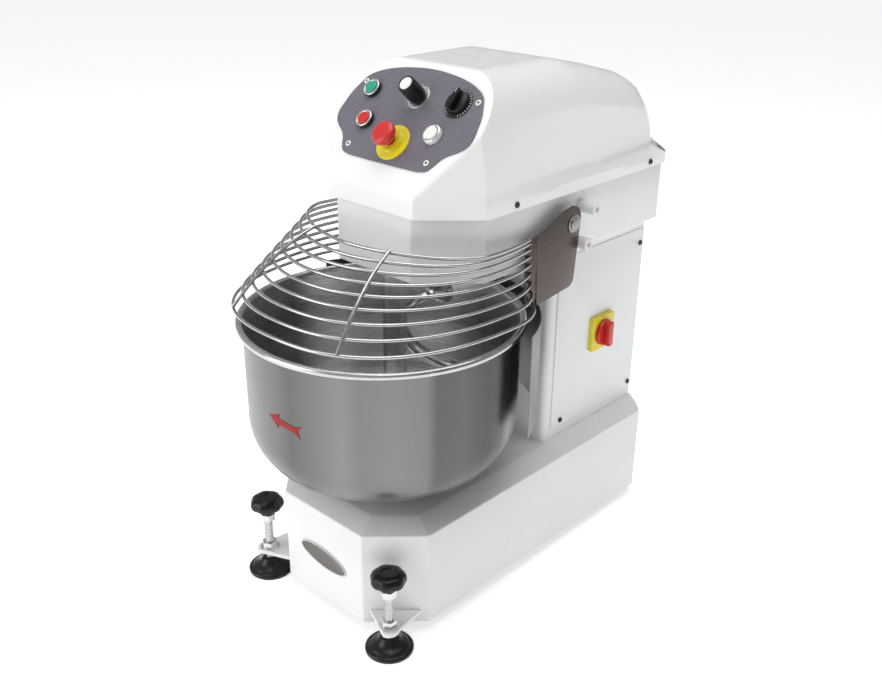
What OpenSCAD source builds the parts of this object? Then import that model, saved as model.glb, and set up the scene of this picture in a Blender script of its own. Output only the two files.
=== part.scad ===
// Spiral dough mixer: bowl turned from below, spiral turned from the head,
// one geared motor in the column driving both through flat belts.
// Every module is drawn about the bowl axis and then shifted by place().

/* [Base] */
// Half width of the base casing
base_hw = 173; // [165:1:190]
// Distance from the bowl axis to the front of the base
base_front = 145; // [135:1:165]
// Distance from the bowl axis to the back of the machine
rear_y = 550; // [540:1:640]
// Height of the base casing's lower edge above the floor
base_z = 21; // [18:1:30]
// Height of the top of the base casing
base_top = 205.5; // [200:0.5:230]
// Width of the 45 degree front corners
corner = 77; // [60:1:90]
// Sheet thickness of the casings
sheet = 3; // [2:0.5:4]

/* [Column] */
// Half width of the column
col_hw = 132; // [128:1:142]
// Distance from the bowl axis to the front of the column
col_front = 271; // [262:1:276]

/* [Head] */
// Height of the underside of the head
head_z = 583; // [575:1:700]
// Height of the seam between the head casing and the hood
hood_z = 689; // [685:1:830]
// Half width of the head casing
head_hw = 162.4; // [155:0.2:165]
// Half width of the hood
hood_hw = 173.3; // [171:0.1:180]
// Height of the crest of the hood above its seam
hood_h = 197; // [190:1:230]

/* [Bowl] */
// Radius of the bowl at the outside of its rolled rim
rim_r = 235; // [225:1:240]
// Height of the top of the rim
rim_z = 511; // [500:1:513]
// Outer radius of the bowl wall
bowl_r = 224; // [214:1:226]
// Depth of the bowl outside
bowl_depth = 266; // [250:1:270]
// Radius between wall and bottom
bowl_corner = 98; // [70:1:110]
// Bowl sheet thickness
bowl_t = 2.5; // [1.5:0.5:4]

/* [Tools in the bowl] */
// Distance from the bowl axis to the spiral's axis
spiral_y = 134; // [130:1:138]
// Radius of the spiral's centre line
spiral_r = 66; // [55:1:68]
// Diameter of the spiral's bar
spiral_bar = 22; // [18:1:24]
// Distance from the bowl axis to the breaker bar
breaker_y = 28; // [20:1:30]
// Diameter of the breaker bar
breaker_d = 40; // [30:1:42]

/* [Guard] */
// Number of guard wires
wires = 9; // [5:1:10]
// Wire diameter
wire_d = 6; // [4:0.5:7]
// Distance from the bowl axis to the guard's hinge
hinge_y = 254; // [250:0.5:260]
// Height of the guard's hinge
hinge_z = 641; // [636:0.5:646]
// Outer face of the guard's side plates
plate_x = 184; // [183:0.5:188]

/* [Drive] */
// Distance from the bowl axis to the motor's axis
motor_y = 405; // [400:1:415]
// Motor diameter
motor_d = 160; // [130:2:170]
// Radius of the bowl's pulley
bowl_pulley_r = 120; // [90:1:122]
// Radius of the motor's lower pulley
low_pulley_r = 20; // [18:1:30]
// Radius of the motor's upper pulley
up_pulley_r = 60; // [40:1:70]
// Radius of the spiral's pulley
spiral_pulley_r = 75; // [60:1:90]
// Radius of the bowl's and spiral's shafts
shaft_r = 20; // [18:0.5:24]
// Radius of the drive shaft
drive_r = 12; // [10:0.5:14]

/* [Feet and wheels] */
// Distance of the front feet's axes in from the sides of the base
foot_in = 18; // [12:1:22]
// Distance of the front feet's axes back from the front of the base
foot_back = 3; // [0:1:6]
// Radius of the foot pads
pad_r = 40; // [30:1:45]
// Diameter of the foot spindles
spindle_d = 15; // [12:1:16]
// Radius of the rear wheels
wheel_r = 45; // [40:1:46]
// Radius of the front castor wheels
castor_r = 21; // [16:1:22]

/* [Controls] */
// Diameter of the push buttons
button_d = 26; // [22:1:30]
// Diameter of the emergency stop's head
estop_d = 40; // [36:1:44]
// Side of the main switch's plate
switch_w = 66; // [55:1:70]

/* [Hidden] */
$fn = 64;
eps = 1;                       // overrun of a cutting tool
run = 0.05;                    // radial clearance of a running fit
gap = 0.3;                     // clearance between moving neighbours
gland_out = 14;                // how far the cable gland stands out at the back
shift_y = (rim_r - rear_y - gland_out) / 2;
gland_z = 150;
// base
bevel = 38;
bevel_h = 14.5;
rear_corner = 21;
skirt_lip = 14;
seam = 0.3;                     // gap between the sheets of the base casing
foot_x = base_hw - foot_in;
foot_y = base_front - foot_back;
rail_w = 40;
rail_z = 66;
rail_x = base_hw - 5 - rail_w;
cross_x = rail_x + rail_w - 14;  // half width of the castors' cross plate, clear of the corners
// hood
band_h = 31.4;                 // upright band at the front of the hood
flange_h = 24;                 // flange along the hood's sides
hood_front = 24;
face_slope = 48.14;            // slope of the operator's face
hood_t = 4;
crest_r = 75;                  // shoulder radius of the front part of the hood
crest_x = 78;
tail_r = 66;                   // shoulder radius at the back of the hood
tail_x = 82;
tail_drop = 41;                // fall of the crest towards the back
crest_z = hood_z + hood_h;
face_y = 89.4;                 // a point of the operator's face
face_z = hood_z + band_h + (face_y + hood_front) * tan(face_slope);
panel_t = 2;
panel_screws = [[119.9, 0], [-119.9, 0], [85.4, -110.8], [-85.4, -110.8]];
start_at = [-96, -12];
stop_at = [-76, -66];
jog_at = [71, -66];
estop_at = [3, -92];
speed_at = [3, -10];
timer_at = [85, -8];
collar_d = 60;
dial_d = 50;
knob_d = 30;
speed_tall = 36;
timer_d = 38;
timer_tall = 18;
// guard
wire_ends_y = 152;
wire_top_z = 637;
wire_low_z = 532;
cage_x = plate_x - 6;
plate_t = 2.5;
flange_w = 20;                 // strip at the front of a side plate that carries the wires
flange_turn = 249.6;
pivot_r = 8;
stop_d = 21;
stops = [[hinge_y + 43, hinge_z + 17], [hinge_y + 27, hinge_z - 39]];
stop_end = plate_x + 14;
rib_top_x = 84;                // sideways distance of the ribs at the top and bottom wires
rib_low_x = 122;
wire_steps = 46;
wire_sides = 8;
// drive train heights
low_z = 75;
low_h = 28;
up_z = 632;
up_h = 28;
belt_t = 5;
bearing_r = 40;
spiral_bearing_r = 35;
spiral_top = 505;
bowl_z = rim_z - bowl_depth;
bowl_floor = bowl_z + bowl_t;
spiral_low = bowl_floor + 38;
// feet and wheels
bracket_z = 38;
bracket_t = 8;
nut_h = 13;
knob_z = 122;
axle_r = 8;
wheel_y = 470;
wheel_x = 104;
wheel_w = 30;
castor_x = 118;
castor_y = -30;
castor_gap = 3;
castor_w = 16;
castor_trail = 16;
castor_z = castor_gap + castor_r;

painted = [0.9, 0.91, 0.91];
white = [0.97, 0.97, 0.97];
steel = [0.62, 0.62, 0.63];
zinc = [0.8, 0.8, 0.78];
black = [0.06, 0.06, 0.06];

module place() translate([0, shift_y, 0]) children();
module ring(r_out, r_in, h) difference() {
    cylinder(r = r_out, h = h);
    translate([0, 0, -eps]) cylinder(r = r_in, h = h + 2 * eps);
}
module both() {
    children();
    mirror([1, 0, 0]) children();
}
// Chamfered plan outline: half width, front, back, front corner, back corner
function plan(hw, front, back, c, rc) = [[-hw + c, front], [hw - c, front], [hw, front + c],
    [hw, back - rc], [hw - rc, back], [-hw + rc, back], [-hw, back - rc], [-hw, front + c]];
function inner_corner(c, t) = max(1, c - t * (2 - sqrt(2)));
module plan_block(hw, front, back, c, rc, z0, z1, t = 0) translate([0, 0, z0])
    linear_extrude(z1 - z0)
        polygon(plan(hw - t, front + t, back - t, inner_corner(c, t), inner_corner(rc, t)));
// Frame on the operator's face: X to the right, Y up the face, Z out of it
module on_face(at = [0, 0], off = 0) translate([0, face_y, face_z]) rotate([face_slope, 0, 0])
    translate([at[0], at[1], off]) children();
module x_rod(x0, x1, y, z, r) translate([x0, y, z]) rotate([0, 90, 0]) cylinder(r = r, h = x1 - x0);

// ---- base
module base_solid(t, z0) {
    plan_block(base_hw, -base_front, rear_y, corner, rear_corner, z0, base_top - bevel_h, t);
    hull() {
        plan_block(base_hw, -base_front, rear_y, corner, rear_corner, base_top - bevel_h - t - 1,
            base_top - bevel_h - t * 0.3, t);
        plan_block(base_hw - bevel, bevel - base_front, rear_y, corner - bevel * (2 - sqrt(2)),
            1, base_top - t - 0.5, base_top - t, t * 0.4);
    }
}
module base_casing() color(painted) place() difference() {
    base_solid(0, base_z);
    // seams between the top, the front, the two sides and the back, which are separate sheets
    translate([-400, -400, base_top - bevel_h - 1.5]) cube([800, 1200, seam]);
    for (y = [corner - base_front, rear_y - rear_corner - seam]) translate([-400, y, 0])
        cube([800, seam, base_top - bevel_h - 1.4]);
    difference() {
        base_solid(sheet, base_z - eps);
        for (s = [-1, 1]) translate([s * base_hw, 0, base_z])
            cube([2 * skirt_lip, 2 * rear_y, 2 * sheet], true);
    }
    translate([0, 0, base_top - 20]) cylinder(r = bearing_r + 15, h = 40);
    translate([0, motor_y, base_top - 20]) cylinder(r = 26, h = 40);
    x_rod(-base_hw - eps, base_hw + eps, wheel_y, wheel_r, 12.8);
    translate([-base_hw + 40, rear_y + eps, gland_z]) rotate([90, 0, 0]) cylinder(r = 10, h = 20);
}
module base_frame() color([0.35, 0.36, 0.38]) place() difference() {
    union() {
        both() {
            difference() {
                translate([rail_x, -50, rail_z]) cube([rail_w, rear_y - rear_corner - 7 + 50, rail_w]);
                translate([rail_x + 3, -60, rail_z + 3])
                    cube([rail_w - 6, rear_y + 100, rail_w - 6]);
            }
            translate([rail_x, wheel_y - 18, wheel_r - 18]) cube([6, 36, rail_z + 18 - wheel_r]);
        }
        translate([-cross_x, castor_y - 45, rail_z - 4]) cube([2 * cross_x, 90, 4]);
        translate([-rail_x - rail_w, wheel_y - 30, rail_z + rail_w])
            cube([2 * (rail_x + rail_w), 90, 5]);
    }
    x_rod(-base_hw, base_hw, wheel_y, wheel_r, axle_r);
    both() translate([castor_x, castor_y, rail_z - 10]) cylinder(r = 6 + run, h = 20);
}
module foot_outline(t) hull() {
    translate([foot_x + 4, -foot_y - 4]) circle(r = 17, $fn = 32);
    translate([base_hw - corner + 9, -base_front + 9 - t]) circle(r = 0.5, $fn = 32);
    translate([base_hw - 9 + t, -base_front + corner - 9]) circle(r = 0.5, $fn = 32);
}
module foot_brackets() color(white) place() both() difference() {
    translate([0, 0, bracket_z]) linear_extrude(bracket_t) foot_outline(0);
    plan_block(base_hw, -base_front, rear_y, corner, rear_corner, 0, 200);
    translate([foot_x, -foot_y, bracket_z - eps]) cylinder(r = spindle_d / 2 + 0.3, h = bracket_t + 2);
}
module hex(af, h) cylinder(r = af / sqrt(3), h = h, $fn = 6);
module foot_nuts() color(zinc) place() both() translate([foot_x, -foot_y, bracket_z + bracket_t])
    difference() {
        hex(24, nut_h);
        translate([0, 0, -eps]) cylinder(r = spindle_d / 2 + run, h = nut_h + 2);
    }
module foot_spindle() translate([foot_x, -foot_y, 0]) {
    translate([0, 0, 16]) cylinder(r = spindle_d / 2, h = knob_z - 14);
    translate([0, 0, knob_z - 17]) hex(24, 13);
    translate([0, 0, knob_z - 4]) difference() {
        union() {
            cylinder(r = 14, h = 12);
            translate([0, 0, 10]) cylinder(r1 = 20, r2 = 28, h = 8);
            translate([0, 0, 18]) cylinder(r = 28, h = 8);
            translate([0, 0, 26]) cylinder(r1 = 28, r2 = 22, h = 8);
        }
        for (i = [0:6]) rotate(i * 360 / 7) translate([32, 0, -eps]) cylinder(r = 8, h = 50);
    }
}
module foot_spindle_right() color(black) place() foot_spindle();
module foot_spindle_left() color(black) place() mirror([1, 0, 0]) foot_spindle();
module foot_pad() translate([foot_x, -foot_y, 0]) difference() {
    union() {
        cylinder(r = pad_r, h = 7);
        translate([0, 0, 7]) cylinder(r1 = pad_r, r2 = pad_r - 6, h = 6);
        translate([0, 0, 13]) cylinder(r1 = pad_r - 6, r2 = 16, h = 7);
        cylinder(r = 13, h = 27);
    }
    translate([0, 0, 15.7]) cylinder(r = spindle_d / 2 + run, h = 20);
}
module foot_pad_right() color(black) place() foot_pad();
module foot_pad_left() color(black) place() mirror([1, 0, 0]) foot_pad();
module rear_axle() color(zinc) place() {
    x_rod(-base_hw + 4, base_hw - 4, wheel_y, wheel_r, axle_r);
    both() x_rod(base_hw - sheet - 1, base_hw - 0.5, wheel_y, wheel_r, 12.5);
}
module rear_wheel() translate([wheel_x - wheel_w / 2, wheel_y, wheel_r]) rotate([0, 90, 0])
    difference() {
        union() {
            cylinder(r = wheel_r - 3, h = wheel_w);
            translate([0, 0, 3]) cylinder(r = wheel_r, h = wheel_w - 6);
        }
        for (z = [-eps, wheel_w - 7]) translate([0, 0, z]) ring(wheel_r - 12, 16, 8);
        translate([0, 0, -eps]) cylinder(r = axle_r + run, h = wheel_w + 2);
    }
module rear_wheel_right() color(black) place() rear_wheel();
module rear_wheel_left() color(black) place() mirror([1, 0, 0]) rear_wheel();
module castor_fork() translate([castor_x, castor_y, 0]) {
    translate([0, 0, castor_z + castor_r + 9]) cylinder(r = 6, h = rail_z - castor_z - castor_r - 6);
    translate([0, 0, castor_z + castor_r + 4]) cylinder(r = 18, h = 5);
    difference() {
        for (s = [-1, 1])
            translate([s * (castor_w / 2 + 3), castor_trail / 2, castor_z + castor_r / 2 + 1])
                cube([3, castor_trail + 14, castor_r + 18], true);
        x_rod(-30, 30, castor_trail, castor_z, 4);
    }
    x_rod(-castor_w / 2 - 4.5, castor_w / 2 + 4.5, castor_trail, castor_z, 4);
}
module castor_fork_right() color(zinc) place() castor_fork();
module castor_fork_left() color(zinc) place() mirror([1, 0, 0]) castor_fork();
module castor_wheel() translate([castor_x - castor_w / 2, castor_y + castor_trail, castor_z])
    rotate([0, 90, 0]) ring(castor_r, 4 + run, castor_w);
module castor_wheel_right() color(black) place() castor_wheel();
module castor_wheel_left() color(black) place() mirror([1, 0, 0]) castor_wheel();

// ---- column
module column_outline(t) {
    r = 12;
    w = col_hw - t;
    translate([-w, col_front + r]) square([2 * w, rear_y - 3 - t - col_front - r]);
    translate([-w + r, col_front + t]) square([2 * (w - r), r]);
    for (s = [-1, 1]) translate([s * (w - r), col_front + r + t]) circle(r = r);
}
panel_y0 = col_front + 21;
panel_z0 = base_top + 20;
panel_z1 = head_z - 27;
module column_casing() color(painted) place() difference() {
    translate([0, 0, base_top]) linear_extrude(head_z - base_top) column_outline(0);
    translate([0, 0, base_top - eps]) linear_extrude(head_z) column_outline(sheet);
    for (s = [-1, 1]) translate([s * col_hw, (panel_y0 + rear_y - 3) / 2, (panel_z0 + panel_z1) / 2])
        cube([4 * sheet, rear_y - panel_y0 - 60, panel_z1 - panel_z0 - 50], true);
    translate([0, rear_y - 3, (base_top + head_z) / 2])
        cube([2 * col_hw - 60, 6 * sheet, head_z - base_top - 70], true);
}
switch_y = 424;
switch_z = 384;
module side_panels() color(painted) place() difference() {
    both() translate([col_hw, panel_y0, panel_z0])
        cube([2, rear_y - 3 - panel_y0, panel_z1 - panel_z0]);
    x_rod(col_hw - 2, col_hw + 5, switch_y, switch_z, 20);
}
module rear_cover() color(painted) place() difference() {
    translate([-col_hw + 12, rear_y - 3, base_top + 20])
        cube([2 * col_hw - 24, 2, head_z - base_top - 40]);
    for (i = [0:9]) translate([-50, rear_y - 10, base_top + 60 + i * 12]) cube([100, 20, 4]);
}

// ---- head
module head_casing() color(painted) place() difference() {
    plan_block(head_hw, -16.5, rear_y, 80.5, 12.5, head_z, hood_z);
    plan_block(head_hw, -16.5, rear_y, 80.5, 12.5, head_z + sheet, hood_z + eps, sheet);
    translate([0, spiral_y, head_z - eps]) cylinder(r = spiral_bearing_r + 11, h = 10);
    translate([0, motor_y, head_z - eps]) cylinder(r = 30, h = 10);
    translate([0, breaker_y, head_z - eps]) cylinder(r = 14, h = 10);
    x_rod(-200, 200, hinge_y, hinge_z, pivot_r + run);
}
module head_plate() color(steel) place() difference() {
    plan_block(head_hw, -16.5, rear_y, 80.5, 12.5, head_z + sheet, head_z + sheet + 8, sheet + 1);
    translate([0, spiral_y, head_z]) cylinder(r = spiral_bearing_r + 10, h = 20);
    translate([0, motor_y, head_z]) cylinder(r = 26, h = 20);
    translate([0, breaker_y, head_z]) cylinder(r = 14, h = 20);
}
// Arch-shaped slice of the hood: half width at the foot, shoulder centre, radius and crest
module hood_slice(p, t) translate([0, p[0], 0]) rotate([90, 0, 0]) linear_extrude(0.1) {
    polygon([[-p[1] + t, p[2]], [p[1] - t, p[2]], [p[1] - t, p[2] + 20], [p[3], p[5] - t],
        [-p[3], p[5] - t], [-p[1] + t, p[2] + 20]]);
    for (s = [-1, 1]) translate([s * p[3], p[5] - p[4]]) circle(r = p[4] - t, $fn = 40);
}
// Each station: place, half width at the foot, foot height, shoulder centre, radius, crest
hood_stations = [[-hood_front, hood_hw - 79, hood_z, 14, crest_r, hood_z + 150],
    [57, hood_hw - 5, hood_z, crest_x, crest_r, crest_z],
    [120, hood_hw - 6, hood_z, crest_x, crest_r, crest_z],
    [300, hood_hw - 12, hood_z, crest_x, crest_r, crest_z - 1],
    [rear_y - 90, hood_hw - 20, hood_z, tail_x, tail_r, crest_z - tail_drop],
    [rear_y - 60, hood_hw - 21, hood_z, tail_x, tail_r, crest_z - tail_drop - 12],
    [rear_y - 40, hood_hw - 23, hood_z, tail_x - 1, tail_r, crest_z - tail_drop - 28],
    [rear_y - 27, hood_hw - 27, hood_z, tail_x - 3, tail_r - 4, crest_z - tail_drop - 52],
    [rear_y - 22, hood_hw - 32, hood_z, tail_x - 6, tail_r - 10, crest_z - tail_drop - 80]];
// Lofted form of the hood, drawn in by t on every side and cut by the operator's face
module hood_form(t) difference() {
    for (i = [0:len(hood_stations) - 2]) hull() {
        hood_slice(hood_stations[i] + [i == 0 ? t : 0, 0, 0, 0, 0, 0], t);
        hood_slice(hood_stations[i + 1] - [i == len(hood_stations) - 2 ? t : 0, 0, 0, 0, 0, 0], t);
    }
    on_face([0, 0], -t) translate([-400, -500, 0]) cube([800, 1000, 400]);
    translate([-400, -400, hood_z - 400]) cube([800, 1200, 400 + (t > 0 ? -eps : 0)]);
}
module hood() color(white) place() difference() {
    union() {
        hood_form(0);
        plan_block(hood_hw, -hood_front, rear_y, 79, rear_corner, hood_z, hood_z + flange_h);
    }
    hood_form(hood_t);
    plan_block(hood_hw, -hood_front, rear_y, 79, rear_corner, hood_z - eps, hood_z + flange_h - 3,
        hood_t);
    for (at = [start_at, stop_at, jog_at, estop_at, speed_at, timer_at])
        on_face(at, -30) cylinder(r = 11, h = 60);
}
module panel_outline() {
    hull() {
        translate([0, -45]) circle(r = 84);
        for (s = [-1, 1]) {
            translate([s * 98, -28]) circle(r = 44);
            translate([s * 104, -60]) circle(r = 39);
        }
        translate([-30, 37]) square([60, 3]);
    }
    difference() {
        translate([-104, -128]) square([208, 60]);
        for (s = [-1, 1]) translate([s * 114, -122]) circle(r = 22);
    }
}
module control_panel() color([0.38, 0.34, 0.37]) place() on_face() difference() {
    linear_extrude(panel_t) panel_outline();
    for (at = [start_at, stop_at, jog_at, estop_at, speed_at, timer_at])
        translate([at[0], at[1], -eps]) cylinder(r = 11, h = 10);
}
module screw_head() {
    cylinder(r = 5, h = 1.2);
    translate([0, 0, 1.2]) difference() {
        cylinder(r1 = 4.6, r2 = 3, h = 2);
        translate([0, 0, 0.8]) cylinder(r = 2, h = 3, $fn = 6);
    }
}
hood_screws = [[120, hood_z + 10], [482, hood_z + 10]];
panel_inset = 11;
side_screws = [[panel_y0 + 26, panel_z0 + panel_inset], [rear_y - 14, panel_z0 + panel_inset + 2],
    [rear_y - 14, panel_z1 - 28], [panel_y0 + 26, panel_z1 - panel_inset]];
module casing_screws() color(steel) place() {
    for (p = panel_screws) on_face(p, panel_t) screw_head();
    both() {
        for (p = hood_screws) translate([hood_hw, p[0], p[1]]) rotate([0, 90, 0]) screw_head();
        for (p = side_screws) translate([col_hw + 2, p[0], p[1]]) rotate([0, 90, 0]) screw_head();
        for (z = [base_top + 35, head_z - 35]) translate([col_hw - 24, rear_y - 1, z])
            rotate([-90, 0, 0]) screw_head();
    }
}

// ---- controls
bezel_h = 8;
module button_bezels() color([0.85, 0.85, 0.85]) place() for (at = [start_at, stop_at, jog_at])
    on_face(at, panel_t) ring(button_d / 2 + 2.5, button_d / 2 - 2 + gap, bezel_h);
module button(at) on_face(at, 0) {
    translate([0, 0, panel_t + 2]) cylinder(r = button_d / 2 - 2, h = bezel_h + 1.5);
    translate([0, 0, -18]) cylinder(r = 8, h = 25);
}
module start_button() color([0.1, 0.6, 0.35]) place() button(start_at);
module stop_button() color([0.85, 0.1, 0.1]) place() button(stop_at);
module jog_button() color(white) place() button(jog_at);
module estop_collar() color([0.98, 0.83, 0.05]) place() on_face(estop_at, panel_t) {
    ring(collar_d / 2, 9, 3);
    ring(19, 9, 8);
}
module estop_mushroom() color([0.85, 0.1, 0.08]) place() on_face(estop_at, 0) {
    translate([0, 0, -20]) cylinder(r = 8, h = 40);
    translate([0, 0, panel_t + 15]) cylinder(r1 = 13, r2 = estop_d / 2, h = 8);
    translate([0, 0, panel_t + 23]) cylinder(r = estop_d / 2, h = 7);
    translate([0, 0, panel_t + 30]) cylinder(r1 = estop_d / 2, r2 = estop_d / 2 - 5, h = 4);
}
module dial_scales() color([0.75, 0.75, 0.75]) place() for (at = [speed_at, timer_at])
    on_face(at, panel_t) ring(dial_d / 2 - (at == speed_at ? 5 : 0), 5.5, 1.2);
module speed_knob() color(black) place() on_face(speed_at, 0) {
    translate([0, 0, -15]) cylinder(r = 5, h = 25);
    translate([0, 0, panel_t + 1.6]) difference() {
        cylinder(r1 = knob_d / 2, r2 = knob_d / 2 - 1, h = speed_tall);
        for (i = [0:11]) rotate(i * 30) translate([knob_d / 2 + 0.6, 0, 6]) cylinder(r = 1.6, h = speed_tall);
    }
}
module timer_knob() color(black) place() on_face(timer_at, 0) {
    translate([0, 0, -15]) cylinder(r = 5, h = 25);
    translate([0, 0, panel_t + 1.6]) {
        cylinder(r = timer_d / 2, h = 7);
        intersection() {
            cylinder(r = timer_d / 2, h = timer_tall);
            translate([-4, -timer_d, 0]) cube([8, timer_d * 2, timer_tall]);
        }
    }
}
module switch_plate() color([0.98, 0.87, 0.05]) place() difference() {
    translate([col_hw + 2, switch_y - switch_w / 2, switch_z - switch_w / 2])
        cube([9, switch_w, switch_w]);
    x_rod(col_hw, col_hw + 20, switch_y, switch_z, 12);
}
module switch_knob() color([0.8, 0.05, 0.08]) place() {
    x_rod(col_hw - 30, col_hw + 14, switch_y, switch_z, 11.6);
    x_rod(col_hw + 11 + gap, col_hw + 20, switch_y, switch_z, 25);
    translate([col_hw + 18, switch_y - 7, switch_z - 24]) cube([12, 14, 48]);
}

// ---- guard
function mix(a, b, s) = a + (b - a) * s;
function wire_w(s) = 191 - 15 * s + 54 * s * s;
function wire_front(s) = -76 - 184 * s + 34 * s * s;
function wire_mid(s) = 45 + 8 * s;
function wire_pow(s) = 1.8 + 0.66 * s;
function wire_front_z(s) = 646 - 58 * s - 50 * s * s;
function wire_end_y(s) = wire_ends_y + 6 * s;
function wire_end_z(s) = mix(wire_top_z, wire_low_z, pow(s, 1.35));
function spow(v, p) = sign(v) * pow(abs(v), p);
// Point of wire s at share u of its run from the right end to the left end
function wire_pt(s, u) = let (n = wire_pow(s), w = wire_w(s), c0 = pow(cage_x / w, n),
    a0 = asin(sqrt(1 - c0)), a = mix(-a0, 180 + a0, u),
    back = (wire_end_y(s) - wire_mid(s)) / pow(1 - c0, 1 / n),
    y = sin(a) > 0 ? wire_mid(s) - (wire_mid(s) - wire_front(s)) * pow(sin(a), 2 / n)
                   : wire_mid(s) + back * pow(-sin(a), 2 / n),
    k = (wire_end_y(s) - y) / (wire_end_y(s) - wire_front(s)))
    [w * spow(cos(a), 2 / n), y, mix(wire_end_z(s), wire_front_z(s), k)];
function unit(v) = v / norm(v);
function tangent(p, i) = unit(p[min(i + 1, len(p) - 1)] - p[max(i - 1, 0)]);
// Round bar swept along the points p, radius r at each point, up is any vector off the path
module sweep(p, r, up, sides = wire_sides) {
    pts = [for (i = [0:len(p) - 1]) let (t = tangent(p, i), a = unit(cross(t, up)), b = cross(a, t))
        for (k = [0:sides - 1]) p[i] + r[i] * (a * cos(360 * k / sides) + b * sin(360 * k / sides))];
    n = len(p);
    polyhedron(pts, concat([[for (k = [sides - 1:-1:0]) k]],
        [for (i = [0:n - 2]) for (k = [0:sides - 1]) let (j = (k + 1) % sides)
            [i * sides + k, i * sides + j, (i + 1) * sides + j, (i + 1) * sides + k]],
        [[for (k = [0:sides - 1]) (n - 1) * sides + k]]));
}
function same(n, r) = [for (i = [0:n - 1]) r];
// Point where a rib crosses wire s
function rib_pt(s, side) = let (x = mix(rib_top_x, rib_low_x, s), n = wire_pow(s),
    y = wire_mid(s) - (wire_mid(s) - wire_front(s)) * pow(1 - pow(x / wire_w(s), n), 1 / n),
    k = (wire_end_y(s) - y) / (wire_end_y(s) - wire_front(s)))
    [side * x, y - 2, mix(wire_end_z(s), wire_front_z(s), k) + 3];
module guard_cage() color([0.82, 0.82, 0.82]) place() {
    for (i = [0:wires - 1]) let (s = i / (wires - 1),
        p = [for (k = [0:wire_steps]) wire_pt(s, k / wire_steps)])
        sweep(p, same(wire_steps + 1, wire_d / 2), [0, 0, 1]);
    for (side = [-1, 1]) let (p = [for (k = [0:10]) rib_pt(k / 10, side)])
        sweep(p, same(11, wire_d / 2), [1, 0, 0]);
}
plate_outline = [[hinge_y + 13, hinge_z + 24], [hinge_y - 2, hinge_z + 31], [hinge_y - 27, hinge_z + 27],
    [hinge_y - 49, hinge_z + 17], [hinge_y - 73, hinge_z + 6], [hinge_y - 95.6, hinge_z - 1],
    [hinge_y - 87.6, hinge_z - 118], [hinge_y, hinge_z - 108], [hinge_y + 8, hinge_z - 100],
    [hinge_y + 19, hinge_z + 11]];
module guard_plate() difference() {
    union() {
        translate([plate_x - plate_t, 0, 0]) rotate([90, 0, 90]) linear_extrude(plate_t)
            polygon(plate_outline);
        translate([plate_x - plate_t, hinge_y - 92, wire_low_z - 10]) rotate(flange_turn)
            cube([flange_w, plate_t, wire_top_z - wire_low_z + 12]);
    }
    x_rod(150, 200, hinge_y, hinge_z, pivot_r);
}
module guard_plate_right() color([0.3, 0.27, 0.26]) place() guard_plate();
module guard_plate_left() color([0.3, 0.27, 0.26]) place() mirror([1, 0, 0]) guard_plate();
module guard_pivots() color(zinc) place() both() {
    x_rod(head_hw - 18, plate_x + 1, hinge_y, hinge_z, pivot_r);
    x_rod(plate_x, plate_x + 5, hinge_y, hinge_z, 15);
    x_rod(head_hw + 0.5, plate_x - plate_t, hinge_y, hinge_z, 14);
}
module guard_stops() color(white) place() both() for (p = stops) {
    difference() {
        x_rod(head_hw, stop_end, p[0], p[1], stop_d / 2);
        x_rod(stop_end - 8, stop_end + eps, p[0], p[1], 5);
    }
    x_rod(stop_end - 10, stop_end - 3, p[0], p[1], 4);
}
module safety_switch() color([0.15, 0.15, 0.17]) place() {
    translate([-head_hw + 22, hinge_y - 15, hinge_z - 30]) cube([26, 30, 60]);
    translate([-head_hw + sheet, hinge_y - 15, hinge_z + 12]) cube([22, 30, 14]);
}
module rear_shield() color(steel) place() {
    rotate(20) rotate_extrude(angle = 140) translate([255, 335]) square([1.5, 177]);
    both() translate([50, 248, 400]) cube([20, col_front - 248, 30]);
}

// ---- bowl
module bowl() color([0.7, 0.7, 0.7]) place() rotate_extrude($fn = 96) {
    translate([rim_r - 6, rim_z - 6]) circle(r = 6);
    difference() {
        translate([bowl_r - bowl_t, rim_z - 9]) square([rim_r - bowl_r - 2, 9]);
        translate([rim_r - 6, rim_z - 6 - 20]) square([20, 20]);
        translate([bowl_r, rim_z - 20]) square([20, 14]);
    }
    translate([bowl_r - bowl_t, bowl_z + bowl_corner]) square([bowl_t, bowl_depth - bowl_corner - 2]);
    translate([0, bowl_z]) square([bowl_r - bowl_corner, bowl_t]);
    translate([bowl_r - bowl_corner, bowl_z + bowl_corner]) difference() {
        intersection() {
            circle(r = bowl_corner);
            translate([0, -bowl_corner]) square(bowl_corner);
        }
        circle(r = bowl_corner - bowl_t);
    }
}
arrow_z = 396.5;
arrow_turn = 275.2;
arrow_tilt = 7.6;
module rotation_arrow() color([0.85, 0.08, 0.06]) place() intersection() {
    translate([0, 0, arrow_z - 20]) ring(bowl_r + 0.6, bowl_r, 40);
    rotate(arrow_turn) rotate([90, 0, 90]) translate([0, 0, 180]) linear_extrude(60)
        translate([0, arrow_z]) mirror([1, 0]) rotate(arrow_tilt) polygon([[36, 0], [14, 13], [14, 5],
            [-20, 5], [-31, 11], [-26, 0], [-31, -11], [-20, -5], [14, -5], [14, -13]]);
}
module bowl_shaft() color(steel) place() {
    translate([0, 0, low_z - 3]) cylinder(r = shaft_r, h = bowl_z - low_z + 1);
    translate([0, 0, bowl_z - 12]) cylinder(r = 62, h = 12);
    translate([0, 0, bowl_z + bowl_t]) cylinder(r1 = 34, r2 = 26, h = 6);
}
module bowl_pulley() color([0.4, 0.4, 0.42]) place() translate([0, 0, low_z]) difference() {
    cylinder(r = bowl_pulley_r, h = low_h);
    translate([0, 0, 8]) ring(bowl_pulley_r - 10, shaft_r + 14, low_h);
    translate([0, 0, -eps]) cylinder(r = shaft_r, h = low_h + 2);
}
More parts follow.
